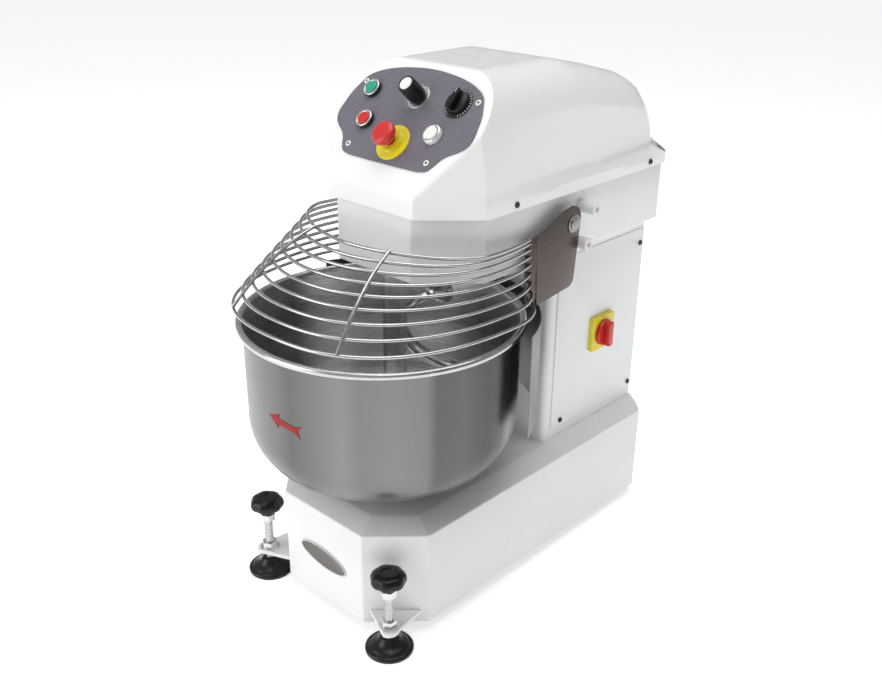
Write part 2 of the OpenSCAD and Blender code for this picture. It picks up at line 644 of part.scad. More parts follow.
module bowl_bearing_housing() color([0.45, 0.46, 0.48]) place() {
    translate([0, 0, low_z + low_h + 6]) ring(bearing_r + 12, bearing_r, base_top - low_z - low_h);
    translate([0, 0, base_top]) ring(82, bearing_r, 9);
}
module spiral_bearing_housing() color([0.45, 0.46, 0.48]) place() translate([0, spiral_y, 0]) {
    translate([0, 0, head_z - 22]) ring(spiral_bearing_r + 10, spiral_bearing_r, 62);
    translate([0, 0, head_z + sheet + 8]) ring(62, spiral_bearing_r, 9);
}
module shaft_bearings() color([0.75, 0.76, 0.78]) place() {
    for (z = [low_z + low_h + 8, base_top - 14]) translate([0, 0, z]) ring(bearing_r, shaft_r + run, 20);
    for (z = [head_z - 18, head_z + 20]) translate([0, spiral_y, z])
        ring(spiral_bearing_r, shaft_r + run, 18);
    for (z = [base_top - 12, head_z]) translate([0, motor_y, z]) ring(26, drive_r + run, 12);
}

// ---- spiral and breaker bar
turns = 0.85;
lead_turn = 0.25;
spiral_start = 135;            // direction in which the bar leaves its hub
tip = 0.72;                    // share of the spiral's run where its end starts to draw in
function spiral_pt(u) = let (a = spiral_start + 360 * (turns + lead_turn) * u,
    k = lead_turn / (turns + lead_turn),
    lead = min(1, u / k),
    drawn = max(0, (u - tip) / (1 - tip)),
    r = spiral_r * sin(90 * lead) * (1 - 0.5 * drawn * drawn))
    [r * cos(a), spiral_y + r * sin(a), mix(spiral_top, spiral_low, u)];
module spiral_tool() color(steel) place() {
    p = [for (i = [0:44]) spiral_pt(i / 44)];
    sweep(p, [for (i = [0:44]) spiral_bar / 2 * (i > 41 ? 1 - 0.13 * (i - 41) : 1)], [0, 0, 1], 12);
    translate([0, spiral_y, spiral_top - 12]) cylinder(r = shaft_r + 3, h = 22);
}
module spiral_shaft() color(steel) place() translate([0, spiral_y, 0]) {
    translate([0, 0, spiral_top + 10]) cylinder(r = shaft_r, h = up_z + up_h + 8 - spiral_top - 10);
}
module pulley(y, r, bore, z, h) translate([0, y, z]) difference() {
    cylinder(r = r, h = h);
    translate([0, 0, 7]) ring(r - 8, bore + 10, h);
    translate([0, 0, -eps]) cylinder(r = bore, h = h + 2);
}
module spiral_pulley() color([0.4, 0.4, 0.42]) place()
    pulley(spiral_y, spiral_pulley_r, shaft_r, up_z, up_h);
module breaker_bar() color([0.5, 0.5, 0.52]) place() translate([0, breaker_y, 0]) {
    translate([0, 0, bowl_floor + 12]) cylinder(r = breaker_d / 2, h = head_z - bowl_floor - 12);
    translate([0, 0, head_z - 1]) cylinder(r = 14, h = 26);
    translate([0, 0, head_z + sheet + 8]) hex(36, 12);
}

// ---- drive
module motor() color([0.25, 0.3, 0.36]) place() translate([0, motor_y, 0]) difference() {
    union() {
        translate([0, 0, 250]) cylinder(r = motor_d / 2 - 8, h = 190);
        for (i = [0:9]) translate([0, 0, 290 + i * 13]) cylinder(r = motor_d / 2, h = 5);
        translate([0, 0, 244]) cylinder(r = motor_d / 2, h = 16);
        translate([0, 0, 440]) cylinder(r = motor_d / 2, h = 12);
        for (s = [-1, 1]) translate([s * (col_hw - sheet) / 2, 0, 249])
            cube([col_hw - sheet, 60, 10], true);
    }
    cylinder(r = drive_r + run, h = 600);
}
module inverter() color([0.2, 0.2, 0.22]) place() {
    translate([-col_hw + sheet, motor_y - 60, 300]) cube([34, 110, 190]);
}
module cable_gland() color(black) place() translate([-base_hw + 40, rear_y, gland_z]) rotate([-90, 0, 0])
    difference() {
        union() {
            translate([0, 0, -16]) cylinder(r = 10, h = 18);
            hex(26, 6);
            translate([0, 0, 6]) cylinder(r1 = 11, r2 = 8, h = gland_out - 6);
        }
        translate([0, 0, -20]) cylinder(r = 5, h = 60);
    }
badge_a = 57;
badge_b = 18.7;
badge_z = 102;
badge_tilt = -5;
module badge() color([0.5, 0.5, 0.5]) place() translate([0, -base_front, badge_z])
    rotate([90, 0, 0]) rotate(badge_tilt) linear_extrude(2)
        polygon([for (i = [0:39]) [badge_a * cos(i * 9), badge_b * sin(i * 9)]]);
module drive_shaft() color(steel) place() translate([0, motor_y, low_z - 10])
    cylinder(r = drive_r, h = up_z + up_h + 6 - low_z + 10);
module drive_pulleys() color([0.4, 0.4, 0.42]) place() {
    translate([0, motor_y, low_z]) ring(low_pulley_r, drive_r, low_h);
    pulley(motor_y, up_pulley_r, drive_r, up_z, up_h);
}
// Belt loop round two pulleys on the Y axis, at y0 and y1, with inner radii r0 and r1
module belt_area(y0, r0, y1, r1) {
    a = asin((r0 - r1) / (y1 - y0));
    translate([0, y0]) circle(r = r0, $fn = 96);
    translate([0, y1]) circle(r = r1);
    polygon([[r0 * cos(a), y0 + r0 * sin(a)], [r1 * cos(a), y1 + r1 * sin(a)],
        [-r1 * cos(a), y1 + r1 * sin(a)], [-r0 * cos(a), y0 + r0 * sin(a)]]);
}
module belt(y0, r0, y1, r1, z, h) translate([0, 0, z]) linear_extrude(h) difference() {
    belt_area(y0, r0 + gap + belt_t, y1, r1 + gap + belt_t);
    belt_area(y0, r0 + gap, y1, r1 + gap);
}
module upper_belt() color(black) place()
    belt(spiral_y, spiral_pulley_r, motor_y, up_pulley_r, up_z + 3, up_h - 6);
module lower_belt() color(black) place()
    belt(0, bowl_pulley_r, motor_y, low_pulley_r, low_z + 3, low_h - 6);

base_casing();
base_frame();
column_casing();
side_panels();
rear_cover();
head_casing();
head_plate();
hood();
control_panel();
casing_screws();
button_bezels();
estop_collar();
dial_scales();
switch_plate();
guard_stops();
safety_switch();
rear_shield();
bowl_bearing_housing();
spiral_bearing_housing();
shaft_bearings();
breaker_bar();
motor();
inverter();
cable_gland();
badge();
foot_brackets();
foot_nuts();
rear_axle();
upper_belt();
lower_belt();
start_button();
stop_button();
jog_button();
estop_mushroom();
speed_knob();
timer_knob();
switch_knob();
guard_cage();
guard_plate_right();
guard_plate_left();
guard_pivots();
bowl();
rotation_arrow();
bowl_shaft();
bowl_pulley();
spiral_tool();
spiral_shaft();
spiral_pulley();
drive_shaft();
drive_pulleys();
foot_spindle_right();
foot_spindle_left();
foot_pad_right();
foot_pad_left();
rear_wheel_right();
rear_wheel_left();
castor_fork_right();
castor_fork_left();
castor_wheel_right();
castor_wheel_left();
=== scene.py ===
import math
import bpy
from mathutils import Matrix, Vector


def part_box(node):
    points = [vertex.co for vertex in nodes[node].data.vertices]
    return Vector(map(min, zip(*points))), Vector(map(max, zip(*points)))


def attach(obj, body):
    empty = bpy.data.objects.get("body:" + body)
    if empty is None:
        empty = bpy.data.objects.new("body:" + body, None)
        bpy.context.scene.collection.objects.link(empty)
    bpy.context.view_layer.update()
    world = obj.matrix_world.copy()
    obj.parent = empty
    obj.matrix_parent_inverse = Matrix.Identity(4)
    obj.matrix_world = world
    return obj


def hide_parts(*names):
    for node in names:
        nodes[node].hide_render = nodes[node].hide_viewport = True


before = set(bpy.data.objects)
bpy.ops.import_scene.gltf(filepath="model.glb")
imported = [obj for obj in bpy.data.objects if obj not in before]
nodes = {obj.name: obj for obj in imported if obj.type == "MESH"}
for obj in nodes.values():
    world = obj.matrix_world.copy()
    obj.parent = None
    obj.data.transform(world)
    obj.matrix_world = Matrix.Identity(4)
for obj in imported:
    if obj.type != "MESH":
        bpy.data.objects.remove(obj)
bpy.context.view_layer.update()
mm = 0.001
bowlLow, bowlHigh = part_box("bowl")
axisY = (bowlLow.y + bowlHigh.y) / 2  # the bowl's axis, which the machine is laid out about
slope = math.radians(48.14)  # lean of the operator's face


def place(x, y, z):
    # a point given in millimetres from the bowl's axis and the floor
    return Vector((x * mm, axisY + y * mm, z * mm))


def placed(x, y, z):
    # the same as a matrix
    return Matrix.Translation(place(x, y, z))


def raised(z):
    return Matrix.Translation((0, 0, z * mm))


def nodeOf(tree, kind, inputs=None, **settings):
    node = tree.nodes.new("ShaderNode" + kind)
    for key, value in settings.items():
        setattr(node, key, value)
    for key, value in (inputs or {}).items():
        node.inputs[key].default_value = value
    return node


def fillRamp(ramp, stops, blue=1.0):
    # grey steps along a colour ramp, each a position and a level
    elements = ramp.color_ramp.elements
    while len(elements) < len(stops):
        elements.new(0.5)
    for element, (spot, level) in zip(elements, stops):
        element.position = spot
        element.color = (level, level, level * blue, 1)


# camera, light and floor

camera = {"azimuth": 43.385, "height": 24.972, "roll": 0.478, "lens": 42.12,
          "spot": (1.1254, -1.2162, 1.1573)}
turn = (Matrix.Rotation(math.radians(camera["azimuth"]), 4, "Z")
        @ Matrix.Rotation(math.radians(90 - camera["height"]), 4, "X")
        @ Matrix.Rotation(math.radians(camera["roll"]), 4, "Z"))
bpy.ops.object.camera_add(location=camera["spot"], rotation=turn.to_euler())
bpy.context.object.data.lens = camera["lens"]
bpy.context.object.data.sensor_width = 36
bpy.context.scene.camera = bpy.context.object

studio = {"floor": 60, "world": 0.52, "keyPower": 42, "topPower": 66, "floorGlow": 0.55}


def softBox(name, spot, size, power, target=(0, 0, 0.45)):
    bpy.ops.object.light_add(type="AREA", location=spot)
    lamp = bpy.context.object
    lamp.name = name
    lamp.data.shape = "RECTANGLE"
    lamp.data.size, lamp.data.size_y = size
    lamp.data.energy = power
    lamp.rotation_euler = (Vector(target) - Vector(spot)).to_track_quat("-Z", "Y").to_euler()


softBox("keyLight", (-1.5, -3.2, 1.7), (2.2, 2.6), studio["keyPower"])
softBox("topLight", (0, 0.2, 3.4), (3.0, 3.0), studio["topPower"])

world = bpy.data.worlds.new("studio")
bpy.context.scene.world = world
world.use_nodes = True
tree = world.node_tree
sky = tree.nodes["Background"]
where = nodeOf(tree, "TexCoord")
radial = nodeOf(tree, "TexGradient", gradient_type="RADIAL")
roomTone = nodeOf(tree, "ValToRGB")
fillRamp(roomTone, [(0.0, 0.95), (0.25, 1.0), (0.375, 0.8), (0.5, 0.42), (0.62, 0.62), (0.75, 0.5),
                    (0.9, 0.7), (1.0, 0.95)], blue=1.01)
tree.links.new(where.outputs["Generated"], radial.inputs["Vector"])
tree.links.new(radial.outputs["Fac"], roomTone.inputs["Fac"])
tree.links.new(roomTone.outputs["Color"], sky.inputs["Color"])
sky.inputs["Strength"].default_value = studio["world"]

bpy.context.scene.view_settings.view_transform = "Standard"
print("camera, light and room are set")


# materials

noiseSpan = (0.35, 0.65)  # where a noise texture does most of its change


def shaderOf(name, color, rough, metal=0.0):
    material = bpy.data.materials.new(name)
    material.use_nodes = True
    shader = material.node_tree.nodes["Principled BSDF"]
    shader.inputs["Base Color"].default_value = (*color, 1)
    shader.inputs["Roughness"].default_value = rough
    shader.inputs["Metallic"].default_value = metal
    return material, material.node_tree, shader


def objectPoints(tree, stretch=(1, 1, 1), centre=(0, 0, 0)):
    points = nodeOf(tree, "TexCoord")
    shift = [-c * s for c, s in zip(centre, stretch)]
    mapping = nodeOf(tree, "Mapping", {"Location": shift, "Scale": stretch})
    tree.links.new(points.outputs["Object"], mapping.inputs["Vector"])
    return mapping.outputs["Vector"]


def noiseOn(tree, vector, scale, detail=3.0):
    noise = nodeOf(tree, "TexNoise", {"Scale": scale, "Detail": detail})
    tree.links.new(vector, noise.inputs["Vector"])
    return noise.outputs["Fac"]


def rampTo(tree, value, socket, low, high, span=noiseSpan):
    spread = nodeOf(tree, "MapRange", {"From Min": span[0], "From Max": span[1],
                                       "To Min": low, "To Max": high})
    tree.links.new(value, spread.inputs["Value"])
    tree.links.new(spread.outputs["Result"], socket)


def colorTo(tree, value, shader, dark, light):
    ramp = nodeOf(tree, "ValToRGB")
    for element, spot, color in zip(ramp.color_ramp.elements, noiseSpan, (dark, light)):
        element.position = spot
        element.color = (*color, 1)
    tree.links.new(value, ramp.inputs["Fac"])
    tree.links.new(ramp.outputs["Color"], shader.inputs["Base Color"])


def productTo(tree, first, second, share, shader):
    # one colour multiplied by another
    tint = nodeOf(tree, "MixRGB", {"Fac": share}, blend_type="MULTIPLY")
    tree.links.new(first, tint.inputs["Color1"])
    tree.links.new(second, tint.inputs["Color2"])
    tree.links.new(tint.outputs["Color"], shader.inputs["Base Color"])


def bumpTo(tree, value, shader, strength, depth):
    bump = nodeOf(tree, "Bump", {"Strength": strength, "Distance": depth})
    tree.links.new(value, bump.inputs["Height"])
    tree.links.new(bump.outputs["Normal"], shader.inputs["Normal"])


def shade(color, share):
    return tuple(c * share for c in color)


def moulded(name, color, rough, peel=220, peelDepth=0.00006, change=0.93, coat=0.0, metal=0.0, specular=0.5):
    # paint, plastic or casting: mottled colour, uneven gloss and a fine skin
    material, tree, shader = shaderOf(name, color, rough, metal)
    shader.inputs["Coat Weight"].default_value = coat
    shader.inputs["Coat Roughness"].default_value = 0.08
    shader.inputs["Specular IOR Level"].default_value = specular
    points = objectPoints(tree)
    colorTo(tree, noiseOn(tree, points, 9), shader, shade(color, change), color)
    rampTo(tree, noiseOn(tree, points, 35), shader.inputs["Roughness"], rough * 0.85, rough * 1.2)
    bumpTo(tree, noiseOn(tree, points, peel, 2), shader, 0.25, peelDepth)
    return material


def brushed(name, color, rough, stretch, change=0.8, depth=0.00003):
    # metal brushed along one axis: stretch is low along the grain and high across it
    material, tree, shader = shaderOf(name, color, rough, 1.0)
    grain = noiseOn(tree, objectPoints(tree, stretch), 1.0, 4)
    colorTo(tree, grain, shader, shade(color, change), color)
    rampTo(tree, grain, shader.inputs["Roughness"], rough * 0.8, rough * 1.3)
    bumpTo(tree, grain, shader, 0.4, depth)
    return material


def turned(name, color, rough, centre, change=0.82, depth=0.00003, reflectionBands=()):
    # metal brushed round the upright axis through centre: fine grain mixed with a broad cloud
    grainScale = (9, 900, 900)
    grainShare = 0.9
    material, tree, shader = shaderOf(name, color, rough, 1.0)
    points = objectPoints(tree, (1, 1, 1), centre)
    split = nodeOf(tree, "SeparateXYZ")
    spin = nodeOf(tree, "VectorRotate", {"Angle": math.radians(-90)}, rotation_type="Z_AXIS")
    radial = nodeOf(tree, "TexGradient", gradient_type="RADIAL")
    flat = nodeOf(tree, "CombineXYZ")
    length = nodeOf(tree, "VectorMath", operation="LENGTH")
    rolled = nodeOf(tree, "CombineXYZ")
    fine = nodeOf(tree, "VectorMath", {1: grainScale}, operation="MULTIPLY")
    for source, target in ((points, split.inputs["Vector"]), (points, spin.inputs["Vector"]),
                           (spin.outputs["Vector"], radial.inputs["Vector"]),
                           (split.outputs["X"], flat.inputs["X"]), (split.outputs["Y"], flat.inputs["Y"]),
                           (flat.outputs["Vector"], length.inputs[0]),
                           (radial.outputs["Fac"], rolled.inputs["X"]),
                           (length.outputs["Value"], rolled.inputs["Y"]),
                           (split.outputs["Z"], rolled.inputs["Z"]),
                           (rolled.outputs["Vector"], fine.inputs[0])):
        tree.links.new(source, target)
    grain = noiseOn(tree, fine.outputs["Vector"], 1.0, 5)
    cloud = nodeOf(tree, "Math", {1: 1 - grainShare}, operation="MULTIPLY")
    mix = nodeOf(tree, "Math", {1: grainShare}, operation="MULTIPLY_ADD")
    tree.links.new(noiseOn(tree, points, 7, 2), cloud.inputs[0])
    tree.links.new(grain, mix.inputs[0])
    tree.links.new(cloud.outputs["Value"], mix.inputs[2])
    colorTo(tree, mix.outputs["Value"], shader, shade(color, change), color)
    if reflectionBands:
        # upright bands of painted reflection, given as turns round the axis and a strength; they turn with
        # the surface
        paintedReflection = nodeOf(tree, "ValToRGB")
        fillRamp(paintedReflection, reflectionBands)
        tree.links.new(radial.outputs["Fac"], paintedReflection.inputs["Fac"])
        productTo(tree, shader.inputs["Base Color"].links[0].from_socket, paintedReflection.outputs["Color"], 1, shader)
    rampTo(tree, mix.outputs["Value"], shader.inputs["Roughness"], rough * 0.8, rough * 1.25)
    bumpTo(tree, grain, shader, 0.5, depth)
    return material


def carbonWeave(name):
    # small two-by-two weave under clear film, laid out in the slope of the operator's face
    material, tree, shader = shaderOf(name, (0.2, 0.18, 0.22), 0.36)
    shader.inputs["Coat Weight"].default_value = 0.35
    shader.inputs["Coat Roughness"].default_value = 0.12
    points = objectPoints(tree)
    flat = nodeOf(tree, "VectorRotate", {"Angle": -slope}, rotation_type="X_AXIS")
    diagonal = nodeOf(tree, "VectorRotate", {"Angle": math.radians(45)}, rotation_type="Z_AXIS")
    checks = nodeOf(tree, "TexChecker", {"Scale": 420, "Color1": (0.1, 0.095, 0.115, 1),
                                         "Color2": (0.24, 0.22, 0.265, 1)})
    tree.links.new(points, flat.inputs["Vector"])
    tree.links.new(flat.outputs["Vector"], diagonal.inputs["Vector"])
    tree.links.new(diagonal.outputs["Vector"], checks.inputs["Vector"])
    productTo(tree, checks.outputs["Color"], noiseOn(tree, points, 14), 0.25, shader)
    rampTo(tree, checks.outputs["Fac"], shader.inputs["Roughness"], 0.28, 0.42, (0, 1))
    bumpTo(tree, checks.outputs["Fac"], shader, 0.2, 0.00006)
    return material


whitePaint = moulded("whitePaint", (0.86, 0.87, 0.875), 0.34, peel=420, peelDepth=0.00004, change=0.975)
hoodPaint = moulded("hoodPaint", (0.9, 0.905, 0.91), 0.2, peel=60, peelDepth=0.00008, change=0.985, coat=0.5)
panelFilm = carbonWeave("panelFilm")
socketSteel = moulded("socketSteel", (0.06, 0.06, 0.065), 0.38, change=0.7, metal=0.6)
buttonRing = brushed("buttonRing", (0.78, 0.79, 0.8), 0.25, (900, 30, 900))
yellowPlastic = moulded("yellowPlastic", (0.8, 0.68, 0.02), 0.35, change=0.94, coat=0.2)
dialMetal = brushed("dialMetal", (0.7, 0.7, 0.71), 0.3, (30, 900, 900))
whitePlastic = moulded("whitePlastic", (0.84, 0.84, 0.82), 0.4, change=0.95)
darkPlastic = moulded("darkPlastic", (0.02, 0.02, 0.022), 0.45, change=0.7)
blackPlastic = moulded("blackPlastic", (0.008, 0.008, 0.009), 0.24, peel=90, change=0.7, specular=0.35)
greenPlastic = moulded("greenPlastic", (0.01, 0.36, 0.23), 0.3, change=0.85, coat=0.3)
redPlastic = moulded("redPlastic", (0.62, 0.018, 0.014), 0.3, change=0.88, coat=0.3)
arrowRed = moulded("arrowRed", (0.34, 0.006, 0.003), 0.6, change=0.9)
castIron = moulded("castIron", (0.24, 0.25, 0.26), 0.55, peel=300, peelDepth=0.0003, change=0.8, metal=0.7)
motorPaint = moulded("motorPaint", (0.05, 0.08, 0.12), 0.4, change=0.85, peelDepth=0.0001)
framePaint = moulded("framePaint", (0.1, 0.105, 0.11), 0.5, change=0.8, peelDepth=0.0001)
beltRubber = moulded("beltRubber", (0.018, 0.018, 0.018), 0.7, peel=500, peelDepth=0.0002, change=0.7)
padRubber = moulded("padRubber", (0.009, 0.009, 0.01), 0.26, peel=160, peelDepth=0.00005, change=0.75,
                    specular=0.35)
tyreRubber = moulded("tyreRubber", (0.03, 0.03, 0.032), 0.6, peel=300, peelDepth=0.0002, change=0.7)
zincPlate = brushed("zincPlate", (0.74, 0.74, 0.73), 0.24, (40, 40, 900), change=0.9, depth=0.00001)
pivotSteel = brushed("pivotSteel", (0.34, 0.33, 0.32), 0.26, (60, 60, 60), change=0.85)
shaftSteel = brushed("shaftSteel", (0.6, 0.61, 0.63), 0.25, (60, 60, 900))
bearingSteel = brushed("bearingSteel", (0.62, 0.63, 0.65), 0.2, (60, 60, 900))
satinSteel = brushed("satinSteel", (0.24, 0.24, 0.24), 0.38, (900, 900, 12), change=0.85)
plateSteel = brushed("plateSteel", (0.12, 0.1, 0.095), 0.3, (900, 18, 900), change=0.8, depth=0.00001)
wireSteel = brushed("wireSteel", (0.56, 0.55, 0.54), 0.15, (300, 300, 300), change=0.85, depth=0.00001)
badgeMetal = brushed("badgeMetal", (0.2, 0.19, 0.18), 0.3, (14, 900, 900), change=0.6)
badgeRim = brushed("badgeRim", (0.6, 0.59, 0.57), 0.22, (60, 60, 60), change=0.9)
barSteel = turned("barSteel", (0.8, 0.8, 0.8), 0.3, place(0, 28, 0))
spiralSteel = brushed("spiralSteel", (0.76, 0.75, 0.74), 0.18, (200, 200, 200), change=0.85)
# levels of painted reflection round the outside and the inside of the bowl, each a turn round the axis and a
# brightness
outsidePaintedReflection = [(0.0, 0.75), (0.023, 0.58), (0.05, 0.75), (0.085, 1.0), (0.105, 0.84), (0.14, 0.94),
                (0.175, 0.86), (0.187, 0.52), (0.22, 0.55), (0.256, 0.36), (0.285, 0.45), (0.3, 0.95),
                (0.33, 0.6), (0.4, 0.9), (0.5, 0.6), (0.6, 0.95), (0.7, 0.65), (0.8, 0.9), (0.88, 0.6),
                (0.95, 0.9), (1.0, 0.75)]
insidePaintedReflection = [(0.0, 0.6), (0.1, 0.8), (0.2, 0.6), (0.32, 0.95), (0.42, 0.6), (0.48, 0.7), (0.54, 1.2),
               (0.62, 0.85), (0.68, 1.15), (0.72, 0.9), (0.753, 0.45), (0.8, 0.4), (0.88, 0.9), (1.0, 0.7)]
# the bowl's one steel made twice, a dark copy for the outside and a bright copy for the inside: the
# difference is painted reflection
bowlSteel = turned("bowlSteel", (0.25, 0.25, 0.246), 0.32, place(0, 0, 0), change=0.92, depth=0.00001,
                   reflectionBands=outsidePaintedReflection)
bowlInside = turned("bowlInside", (0.78, 0.77, 0.76), 0.3, place(0, 0, 0), change=0.88, depth=0.00001,
                    reflectionBands=insidePaintedReflection)
rimSteel = brushed("rimSteel", (0.6, 0.6, 0.59), 0.2, (60, 60, 60), change=0.92, depth=0.000005)
floorPaper, _, paperShader = shaderOf("floorPaper", (0.93, 0.93, 0.935), 0.75)
paperShader.inputs["Emission Color"].default_value = (1, 1, 1, 1)
paperShader.inputs["Emission Strength"].default_value = studio["floorGlow"]
print("materials are made")


# modelling helpers

def clearSelection():
    if bpy.context.object and bpy.context.object.mode != "OBJECT":
        bpy.ops.object.mode_set(mode="OBJECT")
    bpy.ops.object.select_all(action="DESELECT")


def pick(piece):
    clearSelection()
    piece.select_set(True)
    bpy.context.view_layer.objects.active = piece


def choose(piece, faces=None, points=None):
    # go into edit mode with only what the test picks selected
    bpy.ops.object.mode_set(mode="EDIT")
    bpy.ops.mesh.select_mode(type="FACE" if faces else "VERT")
    bpy.ops.mesh.select_all(action="DESELECT")
    bpy.ops.object.mode_set(mode="OBJECT")
    if faces:
        for face in piece.data.polygons:
            face.select = faces(face)
    else:
        for vertex in piece.data.vertices:
            vertex.select = points(vertex.co)
    bpy.ops.object.mode_set(mode="EDIT")


def dropFaces(piece, test):
    choose(piece, faces=test)
    bpy.ops.mesh.delete(type="FACE")
    bpy.ops.object.mode_set(mode="OBJECT")


def turnOutward():
    # leave edit mode with every normal pointing out
    bpy.ops.mesh.select_all(action="SELECT")
    bpy.ops.mesh.normals_make_consistent(inside=False)
    bpy.ops.object.mode_set(mode="OBJECT")


def coated(piece, *materials):
    for material in materials:
        piece.data.materials.append(material)
    return piece


def sheetOf(outline, thick, rounding=0):
    # flat plate: a disc's edge laid on the outline, its corners rounded, then extruded
    clearSelection()
    bpy.ops.mesh.primitive_circle_add(vertices=len(outline), fill_type="NGON", location=(0, 0, 0))
    piece = bpy.context.object
    for vertex, (x, y) in zip(piece.data.vertices, outline):
        vertex.co = (x * mm, y * mm, 0)
    bpy.ops.object.mode_set(mode="EDIT")
    bpy.ops.mesh.select_all(action="SELECT")
    if rounding:
        bpy.ops.mesh.bevel(offset=rounding * mm, segments=6, affect="VERTICES")
    bpy.ops.mesh.select_all(action="SELECT")
    bpy.ops.mesh.extrude_region_move(TRANSFORM_OT_translate={"value": (0, 0, thick * mm)})
    turnOutward()
    return piece


def spun(profile, steps=64):
    # solid of revolution about Z: one point extruded along the profile, then spun
    clearSelection()
    bpy.ops.mesh.primitive_plane_add(size=1 * mm, location=(0, 0, 0))
    piece = bpy.context.object
    bpy.ops.object.mode_set(mode="EDIT")
    bpy.ops.mesh.select_mode(type="VERT")
    bpy.ops.mesh.merge(type="CENTER")
    bpy.ops.mesh.select_all(action="SELECT")
    last = (0, 0)
    for i, (r, z) in enumerate(profile):
        step = ((r - last[0]) * mm, 0, (z - last[1]) * mm)
        if i == 0:
            bpy.ops.transform.translate(value=step)
        else:
            bpy.ops.mesh.extrude_region_move(TRANSFORM_OT_translate={"value": step})
        last = (r, z)
    bpy.ops.mesh.select_all(action="SELECT")
    bpy.ops.mesh.spin(steps=steps, angle=math.tau, center=(0, 0, 0), axis=(0, 0, 1))
    bpy.ops.mesh.select_all(action="SELECT")
    bpy.ops.mesh.remove_doubles(threshold=0.02 * mm)
    turnOutward()
    return piece


def fluted(piece, above, beyond, bite):
    # draw the points above a height and beyond a radius towards the axis
    for vertex in piece.data.vertices:
        reach = math.hypot(vertex.co.x, vertex.co.y)
        if vertex.co.z > above * mm and reach > beyond * mm:
            share = 1 - bite(math.atan2(vertex.co.y, vertex.co.x), reach / mm)
            vertex.co.x *= share
            vertex.co.y *= share


def barAlong(points, radius, sides=3, tapers=None):
    # round bar on a smooth line of points in metres
    clearSelection()
    bpy.ops.curve.primitive_nurbs_path_add(location=(0, 0, 0))
    piece = bpy.context.object
    path = piece.data
    path.splines.clear()
    line = path.splines.new("POLY")
    line.points.add(len(points) - 1)
    for i, point in enumerate(points):
        line.points[i].co = (*point, 1)
        line.points[i].radius = tapers[i] if tapers else 1
    path.dimensions = "3D"
    path.bevel_depth = radius * mm
    path.bevel_resolution = sides
    path.use_fill_caps = True
    piece.select_set(True)
    bpy.ops.object.convert(target="MESH")
    return bpy.context.object


def arc(x, z, r, start, end, steps=8):
    return [(x + r * math.cos(math.radians(start + (end - start) * i / steps)),
             z + r * math.sin(math.radians(start + (end - start) * i / steps))) for i in range(steps + 1)]


def settle(piece, matrix=None):
    # put the object's place into its mesh
    pick(piece)
    if matrix:
        piece.matrix_world = matrix
    bpy.ops.object.transform_apply(location=True, rotation=True, scale=True)


def modify(piece, kind, **values):
    pick(piece)
    modifier = piece.modifiers.new(kind.lower(), kind)
    for key, value in values.items():
        setattr(modifier, key, value)
    bpy.ops.object.modifier_apply(modifier=modifier.name)


def soften(piece, width, segments=3, angle=30):
    modify(piece, "BEVEL", width=width * mm, segments=segments, limit_method="ANGLE",
           angle_limit=math.radians(angle), harden_normals=False)


def joined(parts):
    clearSelection()
    for part in parts:
        part.select_set(True)
    bpy.context.view_layer.objects.active = parts[0]
    bpy.ops.object.join()
    return bpy.context.object


def copyOf(piece, matrix):
    pick(piece)
    bpy.ops.object.duplicate(linked=False)
    made = bpy.context.object
    settle(made, matrix)
    return made


def mirrored(piece):
    made = copyOf(piece, Matrix.Diagonal((-1, 1, 1, 1)))
    bpy.ops.object.mode_set(mode="EDIT")
    turnOutward()
    return made


def bothSides(piece):
    return joined([piece, mirrored(piece)])


def finish(piece, name, material, body, replaced=(), angle=32):
    pick(piece)
    piece.name = piece.data.name = name
    bpy.ops.object.shade_smooth_by_angle(angle=math.radians(angle))
    if not piece.data.materials:
        piece.data.materials.append(material)
    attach(piece, body)
    if replaced:
        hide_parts(*replaced)


def roundedCorners(corners, radius):
    # outline of straight sides with an arc of six points at each corner
    outline = []
    count = len(corners)
    for i, corner in enumerate(corners):
        here = Vector(corner)
        back = (Vector(corners[i - 1]) - here).normalized()
        ahead = (Vector(corners[(i + 1) % count]) - here).normalized()
        half = math.acos(max(-1, min(1, back.dot(ahead)))) / 2
        reach = radius / math.tan(half)
        centre = here + (back + ahead).normalized() * (radius / math.sin(half))
        first = here + back * reach - centre
        last = here + ahead * reach - centre
        swing = first.angle_signed(last)
        for k in range(6):
            a = -swing * k / 5
            outline.append((centre.x + first.x * math.cos(a) - first.y * math.sin(a),
                            centre.y + first.x * math.sin(a) + first.y * math.cos(a)))
    return outline


def planOf(half, front, back, corner, rear):
    return [(-half + corner, front), (half - corner, front), (half, front + corner), (half, back - rear),
            (half - rear, back), (-half + rear, back), (-half, back - rear), (-half, front + corner)]


bpy.ops.mesh.primitive_plane_add(size=studio["floor"], location=(0, 0, 0))
floor = bpy.context.object
floor.name = "floor"
floor.data.materials.append(floorPaper)


# nodes of the frame that keep their own shape

carried = {
    "base_frame": framePaint, "head_plate": satinSteel, "safety_switch": darkPlastic,
    "bowl_bearing_housing": castIron, "spiral_bearing_housing": castIron, "shaft_bearings": bearingSteel,
    "motor": motorPaint, "inverter": darkPlastic, "cable_gland": darkPlastic, "rear_axle": zincPlate,
    "upper_belt": beltRubber, "lower_belt": beltRubber, "rotation_arrow": arrowRed, "bowl_shaft": shaftSteel,
    "bowl_pulley": castIron, "spiral_shaft": shaftSteel, "spiral_pulley": castIron,
    "drive_shaft": shaftSteel, "drive_pulleys": castIron, "castor_fork_right": zincPlate,
    "castor_fork_left": zincPlate, "castor_wheel_right": tyreRubber, "castor_wheel_left": tyreRubber,
    "rear_wheel_right": tyreRubber, "rear_wheel_left": tyreRubber, "rear_cover": whitePaint,
    "rear_shield": satinSteel,
}
for name, material in carried.items():
    nodes[name].data.materials.clear()
    nodes[name].data.materials.append(material)
print("frame nodes have their finishes")

